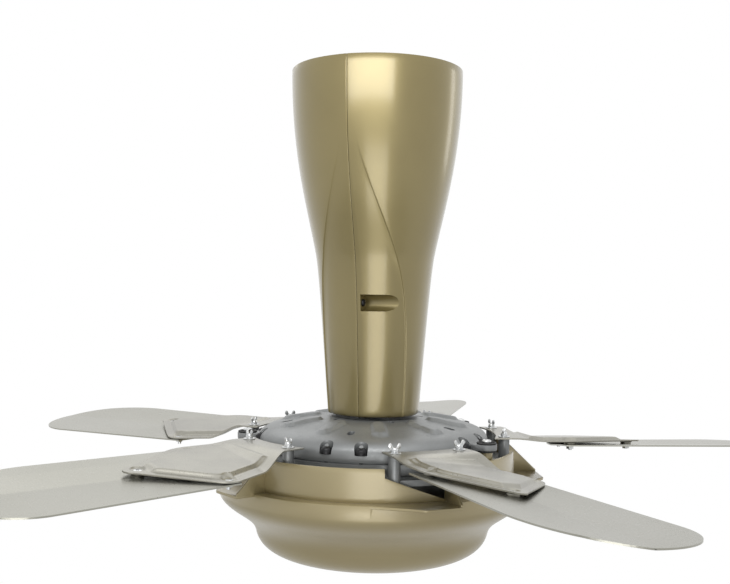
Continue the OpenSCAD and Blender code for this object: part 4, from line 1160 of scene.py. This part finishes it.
@dataclass
class Bracket:
    """A pressed bracket from the motor's posts to the blade, with a raised middle."""

    blade: Blade
    inner_r: float = 137.0
    reach: float = 308.0
    lead_w: float = 44.0
    trail_w: float = 80.0
    ear_half: float = 44.0
    ear_overrun: float = 14.0
    flat_r: float = 153.0
    bend_r: float = 188.0
    lead_peak_r: float = 228.0
    trail_peak_r: float = 236.0
    stand_off: float = 2.9
    slope: float = 7.0
    emboss_h: float = 3.5
    emboss_edge: float = 11.0
    emboss_run: float = 6.0
    emboss_start: float = 168.0
    emboss_end: float = 288.0
    dish_d: float = 10.5
    dish_depth: float = 1.6
    dish_run: float = 2.6
    spacer_d: float = 12.0
    head_lift: float = 0.35
    screw: Screw = Screw(head_d=8.0, head_h=2.0, shank_d=4.0, shank_l=9.0, recess=4.4, sunk=True)

    def __post_init__(self) -> None:
        """Works out both side outlines, with round corners, and the places of the screws."""
        root, end = self.inner_r - self.ear_overrun, self.reach - 6
        lead_start, trail_start = (self.flat_r, -self.lead_w), (self.flat_r + 8, self.ear_half + 4)
        self.lead = [(root, -self.ear_half), lead_start]
        self.lead += self.corner(lead_start, (self.lead_peak_r, -self.lead_w), (end, 2.0), 14)
        self.lead += [(end, 2.0), (self.reach - 2.2, 4.2), (self.reach, 7.5)]
        self.trail = [(root, self.ear_half), trail_start]
        self.trail += self.corner(trail_start, (self.trail_peak_r, self.trail_w), (end, 18.0), 12)
        self.trail += [(end, 18.0), (self.reach - 2.2, 15.4), (self.reach, 11.5)]
        self.screw_places = [(self.reach - 15, 8.0),
                             (self.blade.root_r + 22, self.trail_w - 14),
                             (self.blade.root_r + 8, 11 - self.lead_w)]

    @staticmethod
    def corner(start: Point, peak: Point, end: Point, size: float) -> list[Point]:
        """Rounds a corner.

        Args:
            start: A point before the corner.
            peak: The sharp corner.
            end: A point after it.
            size: How far the rounding reaches on each side.

        Returns:
            The points of the rounding.
        """
        middle = Vector(peak)
        before = middle + (Vector(start) - middle).normalized() * size
        after = middle + (Vector(end) - middle).normalized() * size
        return bezier([tuple(before), tuple(before.lerp(middle, 0.6)),
                       tuple(after.lerp(middle, 0.6)), tuple(after)], 8)

    def plane(self, v: float) -> float:
        """Height of the bracket's plain sheet over the blade."""
        fall = (v - self.blade.fold_a) * math.tan(math.radians(self.slope))
        return self.blade.height(self.blade.fold_a) + self.stand_off + SHEET_T - fall

    def top(self, u: float, v: float) -> float:
        """Gives the height of the top face, with the raised middle and without the dishes.

        Args:
            u: Distance along the blade's line.
            v: Distance across it.

        Returns:
            The height.
        """
        field = min(v - lookup(u, self.lead), lookup(u, self.trail) - v,
                    u - self.emboss_start + self.emboss_edge,
                    (self.emboss_end - u) * 0.6 + self.emboss_edge)
        share = smooth((u - self.flat_r) / (self.bend_r - self.flat_r))
        raised = self.emboss_h * smooth((field - self.emboss_edge) / self.emboss_run)
        return mix(EAR_Z, self.plane(v), share) + raised

    def dished(self, u: float, v: float) -> float:
        """Gives the height of the top face with the dishes around the blade screws.

        Args:
            u: Distance along the blade's line.
            v: Distance across it.

        Returns:
            The height.
        """
        z = self.top(u, v)
        for place in self.screw_places:
            gap = math.hypot(u - place[0], v - place[1]) - self.dish_d / 2
            z -= self.dish_depth * (1 - smooth(gap / self.dish_run))
        return z

    def seat(self, place: Point, rise: float) -> Matrix:
        """Gives the place of a screw's own frame, square to the blade.

        Args:
            place: Where the screw stands, along and across the blade.
            rise: Its height above the blade's face.

        Returns:
            The place in the blade's frame.
        """
        u, v = place
        lean = Matrix.Rotation(math.radians(-self.blade.slope(v)), 4, "X")
        return (Matrix.Translation((u, v, self.blade.height(v))) @ lean
                @ Matrix.Translation((0, 0, rise)))

    def rise(self, place: Point) -> float:
        """Height of a dish's floor above the blade, square to it."""
        gap = self.dished(*place) - self.blade.height(place[1])
        return gap * math.cos(math.radians(self.blade.slope(place[1])))

    def mesh(self) -> BMesh:
        """Builds the bracket in its blade's frame.

        Returns:
            The mesh of the sheet and the spacers below its screws.
        """
        def where(along: float, across: float) -> Vector:
            """Gives a place on the bracket's top face.

            Args:
                along: Share of the way from the ears to the tip.
                across: Share of the way from the leading to the trailing side.

            Returns:
                The place.
            """
            # The columns lie closer together towards the tip
            u = mix(self.inner_r, self.reach, 1 - (1 - along) ** 1.15)
            v = mix(lookup(u, self.lead), lookup(u, self.trail), across)
            # The inner end follows the motor's round side
            arch = math.sqrt(self.inner_r ** 2 - min(abs(v), 100) ** 2) - self.inner_r
            u += arch * (1 - along) ** 3
            return Vector((u, v, self.dished(u, v)))

        pressed = soften(sheet(150, 96, SHEET_T, where), 0.5, angle=50)
        spacers = [soften(rod(self.spacer_d, self.rise(place) - 0.6, self.seat(place, 0.02)), 0.4)
                   for place in self.screw_places]
        return gather([pressed, *spacers])


@dataclass
class WingScrew:
    """A stamped wing screw with a washer, standing on the bracket's ear at z = 0."""

    shank_d: float = 5.8
    shank_l: float = 15.6
    washer_d: float = 13.0
    washer_t: float = 1.0
    neck_d: float = 7.4
    width: float = 13.0
    rise: float = 10.0
    wing_t: float = 1.5

    def mesh(self) -> BMesh:
        """Builds the wing screw.

        Returns:
            The mesh of its closed forms.
        """
        s, n, w, h = self.shank_d / 2, self.neck_d / 2, self.width / 2, self.rise
        outside, hole, thick = self.washer_d / 2, s - 0.1, self.washer_t
        washer = spin([(hole, 0.0), (outside, 0.0), (outside, thick), (hole, thick)], 40)
        shank = spin([(0, -self.shank_l), (s - 0.5, -self.shank_l), (s, 0.5 - self.shank_l),
                      (s, thick), (n, thick), (n, 3.4), (n - 0.7, 5.2), (n - 1.4, 5.8),
                      (0, 5.8)], 32)
        outline = [(0.6, 1.6), (n - 0.6, 1.6)]
        outline += bezier([(n, 2.4), (n + 0.4, 4.2), (w - 0.9, 4.4), (w, 6.6)], 6)
        outline += bezier([(w, 6.6), (w + 0.1, h + 0.4), (w - 2.6, h + 0.8), (w - 3.6, h - 1.2)],
                          7)[1:]
        outline += bezier([(w - 3.6, h - 1.2), (w - 4.4, 6.4), (n - 2.2, 6.0), (0.6, 5.6)], 5)[1:]
        upright = Matrix.Translation((0, self.wing_t / 2, 0)) @ TOWARDS_FRONT
        wing = soften(plate(outline, self.wing_t, upright), 0.4, segments=3, angle=60)
        return gather([soften(washer, 0.25), shank, copies(wing, [turned(0), turned(180)])])


@dataclass
class Rotor:
    """The five blades with their brackets and every fastener on them."""

    blade: Blade
    bracket: Bracket
    wing_screw: WingScrew
    # How each wing screw happens to be turned, in degrees
    wing_turns: tuple[float, ...] = (80, 96, 70, 104, 62, 88, 100, 74, 92, 84)

    def build(self) -> None:
        """Builds the blades, the brackets and their screws."""
        for i in range(BLADE_COUNT):
            for name, mesh, finish in (("blade", self.blade.mesh(), SILVER_SHEET),
                                       ("blade_bracket", self.bracket.mesh(), PRESSED_STEEL)):
                show(f"{name}_{i + 1}_sheet", moved(mesh, blade_turn(i)), finish, Body.ROTOR,
                     f"{name}_{i + 1}", crease=30)
        bracket = self.bracket
        # Every recess ends up at another angle
        seats = [blade_turn(i) @ bracket.seat(place, bracket.rise(place) + bracket.head_lift)
                 @ turned(37.0 * (i + k))
                 for i in range(BLADE_COUNT) for k, place in enumerate(bracket.screw_places)]
        show("countersunk_blade_screws", copies(self.bracket.screw.mesh(), seats), ZINC_PLATE,
             Body.ROTOR, "blade_screws")
        posts = [blade_turn(i) @ turned(side * POST_ANGLE, POST_R, EAR_Z)
                 for i in range(BLADE_COUNT) for side in (-1, 1)]
        places = [post @ turned(turn) for post, turn in zip(posts, self.wing_turns)]
        show("stamped_wing_screws", copies(self.wing_screw.mesh(), places), ZINC_PLATE, Body.ROTOR,
             "wing_screws")


@dataclass
class BodyCover:
    """The bowl with its lip, the upright wall with a slot for each bracket, and the cap below."""

    wall_r: float = 157.0
    wall_h: float = 33.0
    lip_r: float = 170.5
    lip_t: float = 3.0
    bowl_h: float = 86.0
    thickness: float = 2.5
    port_r: float = 62.0
    slot_start: float = 18.0
    slot_end: float = 5.0
    slot_step: float = 9.0
    # Angle in degrees over which the wall's edge falls into a slot
    slot_side: float = 0.12
    cheek_reach: float = 32.6
    cheek_inset: float = 1.2
    tongue_start: float = 34.0
    column_d: float = 13.0
    column_top: float = 37.9
    column_base: float = 8.0
    web_t: float = 5.0
    web_gap: float = 10.0

    def wall_top(self, angle: float) -> float:
        """Gives the height of the wall's top edge.

        Args:
            angle: Angle from a blade's line, in degrees.

        Returns:
            The height above the lip.
        """
        if -self.slot_start <= angle <= self.slot_end:
            share = (angle + self.slot_start) / (self.slot_start + self.slot_end)
            return mix(self.wall_h - self.slot_step, 1.0, share)
        return self.wall_h

    def bowl(self) -> BMesh:
        """Builds the bowl and its lip.

        Returns:
            The closed mesh, the lip's top face at z = 0.
        """
        r, h, t = self.lip_r, self.bowl_h, self.thickness
        outer = [(r, -1.2)]
        outer += bezier([(r, -14.0), (r, -31.0), (r - 36, -38.0), (r - 41, -59.0)], 22)
        outer += bezier([(r - 41, -59.0), (r - 44, -74.0), (r - 58, -h), (self.port_r + 14, -h)],
                        18)[1:]
        outer += [(self.port_r, -h)]
        inner = [p for p in offset(outer, -t) if p[1] < -self.lip_t - 0.5]
        top = [(self.wall_r - t, -self.lip_t), (self.wall_r - t, 0.0), (r - 1.2, 0.0),
               (r - 0.35, -0.35)]
        section = top + outer + list(reversed(inner)) + [(r - t, -self.lip_t)]
        return soften(spin(section, steps=180), 0.5, angle=60)

    def wall(self) -> BMesh:
        """Builds the upright wall with its five slots, standing in the lip.

        Returns:
            The closed mesh.
        """
        before, after = -self.slot_start - self.slot_side, self.slot_end + self.slot_side
        sector = [before, *[mix(-self.slot_start, self.slot_end, i / 12) for i in range(13)]]
        sector += [mix(after, before + BLADE_STEP, i / 26) for i in range(26)]
        angles = [BLADE_PHASE + i * BLADE_STEP + a for i in range(BLADE_COUNT) for a in sector]
        tops = [self.wall_top(a) for a in sector] * BLADE_COUNT
        mesh = bmesh.new()
        bmesh.ops.create_grid(mesh, x_segments=len(angles), y_segments=6, size=0.5)
        for v in mesh.verts:
            k = round((v.co.x + 0.5) * len(angles)) % len(angles)
            turn = math.radians(angles[k])
            v.co = Vector((self.wall_r * math.cos(turn), self.wall_r * math.sin(turn),
                           mix(-1.0, tops[k], v.co.y + 0.5)))
        bmesh.ops.remove_doubles(mesh, verts=mesh.verts, dist=MERGE)
        bmesh.ops.recalc_face_normals(mesh, faces=mesh.faces)
        share = 1 - self.thickness / self.wall_r
        bmesh.ops.scale(mesh, vec=(share, share, 1.0), verts=extruded(mesh))
        bmesh.ops.recalc_face_normals(mesh, faces=mesh.faces)
        return soften(mesh, 0.45, angle=50)

    def cheek(self) -> BMesh:
        """Builds the cheek at the end of a slot, in a blade's frame.

        Returns:
            The closed mesh.
        """
        reach, inner = self.wall_r + self.cheek_reach, self.wall_r - self.cheek_inset
        outline = [(inner, -0.8), (reach - 0.3, -0.8), (reach - 0.3, 2.2), (reach - 2.6, 4.0),
                   (inner + 4.0, self.wall_h - 3.2), (inner, self.wall_h - 0.4)]
        upright = Matrix.Translation((0, self.cheek_y(), 0)) @ TOWARDS_FRONT
        return soften(plate(outline, self.thickness, upright), 0.5, angle=50)

    def cheek_y(self) -> float:
        """Distance of a cheek's outer face from the blade's line."""
        return self.wall_r * math.sin(math.radians(self.slot_end)) + self.thickness

    def tongue(self) -> BMesh:
        """Builds the tongue of the lip that carries a cheek, in a blade's frame.

        Returns:
            The closed mesh.
        """
        start = math.radians(self.tongue_start)
        reach, inside = self.wall_r + self.cheek_reach, self.wall_r - self.cheek_inset
        root, end = self.lip_r - 4, self.cheek_y()
        flat = [(root * math.cos(start), -root * math.sin(start)), (reach - 8, -32.0)]
        flat += arc((reach - 9, -20.0), 9.0, -40, 0, 5) + [(reach, end)]
        flat += [(inside * math.cos(a), inside * math.sin(a))
                 for a in (mix(math.asin(end / inside), -start, i / 14) for i in range(15))]
        flat_place = Matrix.Translation((0, 0, -self.lip_t))
        return soften(plate(flat, self.lip_t, flat_place), 0.7, angle=50)

    def columns(self) -> BMesh:
        """Builds the columns below the housing's lugs, each tied to the wall by a web.

        Returns:
            The mesh of their closed forms.
        """
        post = soften(rod(self.column_d, self.column_top - self.column_base), 0.5)
        run, height = self.wall_r - 1.5 - LUG_R, self.wall_h - self.web_gap
        web = block((run, self.web_t, height), (run / 2, 0, height / 2))
        return copies(gather([post, web]), at_lugs(self.column_base))

    def cap(self) -> BMesh:
        """Builds the cap in the bowl's opening.

        Returns:
            The closed mesh, its rim at z = 0.
        """
        plug = self.port_r - 0.2
        face = bezier([(0.0, -4.9), (plug * 0.5, -4.9), (plug - 8, -4.2), (plug - 1, -2.4)], 18)
        rim = [(plug + 2.6, -0.9), (plug + 3.7, -0.2), (plug + 3.4, 0.0), (plug, 0.0), (plug, 4.4),
               (plug - 2, 4.4), (plug - 2, -0.6), (plug - 20, -2.0), (0.0, -2.6)]
        return soften(spin(face + rim, steps=120), 0.3, angle=60)

    def build(self) -> None:
        """Builds the cover and its cap."""
        turns = [blade_turn(i) for i in range(BLADE_COUNT)]
        cover = combine(self.bowl(), copies(self.tongue(), turns), Cut.JOIN)
        cover = gather([cover, self.wall(), copies(self.cheek(), turns), self.columns()])
        show("slotted_bowl_cover", moved(cover, Matrix.Translation((0, 0, LIP_Z))),
             CHAMPAGNE_COVER_PAINTED_LIGHT, Body.ROTOR, "body_cover", crease=32)
        below = Matrix.Translation((0, 0, LIP_Z - self.bowl_h))
        show("snap_in_bottom_cap", moved(self.cap(), below), CHAMPAGNE_COVER_PAINTED_LIGHT, Body.ROTOR,
             "bottom_cap")


@dataclass(frozen=True)
class CadParts:
    """Nodes whose own solids show, by finish."""

    groups: tuple[tuple[Finish, tuple[str, ...]], ...] = (
        (ZINC_PLATE, ("hanger_bracket", "hanger_bolt", "hanger_nut", "split_pin", "rod_bolt",
                      "rod_nut", "driver_tray", "shaft_nut", "blade_nuts")),
        (NYLON, ("swing_bush", "terminal_block")),
        (CHAMPAGNE_ON_STEEL, ("down_rod",)),
        (CAST_ALUMINIUM, ("canopy_collar", "stator_hub", "lower_housing")),
        (BLACK_ZINC, ("collar_screw", "tray_screw")),
        (CASE_ABS, ("driver_case", "driver_lid")),
        (SOLDER_MASK, ("driver_board",)),
        (TURNED_STEEL, ("motor_shaft", "upper_bearing", "lower_bearing")),
        (STACKED_STEEL, ("stator_core", "rotor_yoke")),
        (COPPER_WIRE, ("stator_windings",)),
        (FERRITE, ("magnet_ring",)),
    )

    def build(self) -> None:
        """Gives each node its material."""
        for finish, names in self.groups:
            for name in names:
                dress(name, finish)
                log.info("%s keeps its solid, finish %s", name, finish.name)


@dataclass(frozen=True)
class Lamp:
    """One soft area lamp. Lengths are in metres."""

    name: str
    place: tuple[float, float, float]
    aim: tuple[float, float, float]
    size: Point
    watts: float

    def build(self) -> None:
        """Hangs the lamp, unseen by the camera."""
        data = bpy.data.lights.new(self.name, "AREA")
        data.shape = "RECTANGLE"
        data.size, data.size_y = self.size
        data.energy = self.watts
        made = new_object(self.name, data)
        made.visible_camera = False
        look = (Vector(self.aim) - Vector(self.place)).to_track_quat("-Z", "Y").to_matrix()
        made.matrix_world = Matrix.Translation(self.place) @ look.to_4x4()


@dataclass
class Studio:
    """Camera, lamps, pale floor and the light around the fan. Lengths are in metres here."""

    lens: float = 48.3
    sensor: float = 36.0
    distance: float = 1.1
    height: float = -0.252
    side: float = 0.049
    pitch: float = 0.02
    yaw: float = 3.12
    roll: float = 0.75
    floor_z: float = -2.8
    floor_half: float = 7.0
    fill: float = 0.7
    lamps: tuple[Lamp, ...] = (
        # Gleam down the canopy's front
        Lamp("near_softbox", (-0.03, -0.53, 0.07), (0, 0, -0.05), (0.52, 0.2), 2.1),
        # Bowl and blades from below the camera
        Lamp("low_softbox", (0.1, -2.2, -0.75), (0, 0, -0.4), (1.3, 0.7), 9.0),
        # Blades and housing from above
        Lamp("top_softbox", (0.4, -0.2, 1.5), (0, 0, -0.4), (2.0, 2.0), 6.0),
        # Views from behind
        Lamp("back_softbox", (-0.5, 1.8, 1.2), (0, 0, -0.4), (2.4, 1.2), 7.0),
        # Edge of the canopy's right side
        Lamp("right_softbox", (2.0, 1.2, 0.2), (0, 0, -0.3), (0.4, 0.8), 2.0),
    )

    def camera(self) -> None:
        """Places the camera at the photograph's viewing angle."""
        data = bpy.data.cameras.new("camera")
        data.lens = self.lens
        data.sensor_width = self.sensor
        data.sensor_fit = "HORIZONTAL"
        data.clip_start = 0.05
        made = new_object("camera", data)
        turn = (Matrix.Rotation(math.radians(self.yaw), 4, "Z")
                @ Matrix.Rotation(math.radians(90 - self.pitch), 4, "X")
                @ Matrix.Rotation(math.radians(self.roll), 4, "Z"))
        made.matrix_world = Matrix.Translation((self.side, -self.distance, self.height)) @ turn
        bpy.context.scene.camera = made

    def world(self) -> None:
        """Makes a white background, also in reflections, and a softer one as light."""
        made = bpy.data.worlds.new("studio")
        made.use_nodes = True
        tree = made.node_tree
        tree.nodes.clear()
        path = add_node(tree, "LightPath").outputs
        seen = path["Is Camera Ray"]
        for ray in ("Is Glossy Ray", "Is Transmission Ray"):
            seen = add_node(tree, "Math", {0: seen, 1: path[ray]}, operation="MAXIMUM").outputs[0]
        level = add_node(tree, "MapRange", {"Value": seen, "To Min": self.fill, "To Max": 1.0})
        light = add_node(tree, "Background", {"Color": linear("#ffffff"),
                                              "Strength": level.outputs["Result"]})
        add_node(tree, "OutputWorld", {"Surface": light.outputs["Background"]})
        bpy.context.scene.world = made

    def floor(self) -> None:
        """Lays a pale floor far below the fan."""
        mesh = bmesh.new()
        bmesh.ops.create_grid(mesh, x_segments=8, y_segments=8, size=self.floor_half,
                              matrix=Matrix.Translation((0, 0, self.floor_z)))
        data = to_data("floor", mesh)
        data.materials.append(FLOOR_PAINT.material())
        new_object("floor", data)

    def build(self) -> None:
        """Builds the whole studio."""
        self.camera()
        self.world()
        self.floor()
        for lamp in self.lamps:
            lamp.build()
        bpy.context.scene.view_settings.view_transform = "Standard"


def main() -> None:
    """Builds every piece in order."""
    logging.basicConfig(level=logging.INFO, format="%(name)s: %(message)s")
    blade = Blade()
    for part in (Studio(), Canopy(), MotorHousing(), Rotor(blade, Bracket(blade), WingScrew()),
                 BodyCover(), CadParts()):
        part.build()


if __name__ == "__main__":
    main()
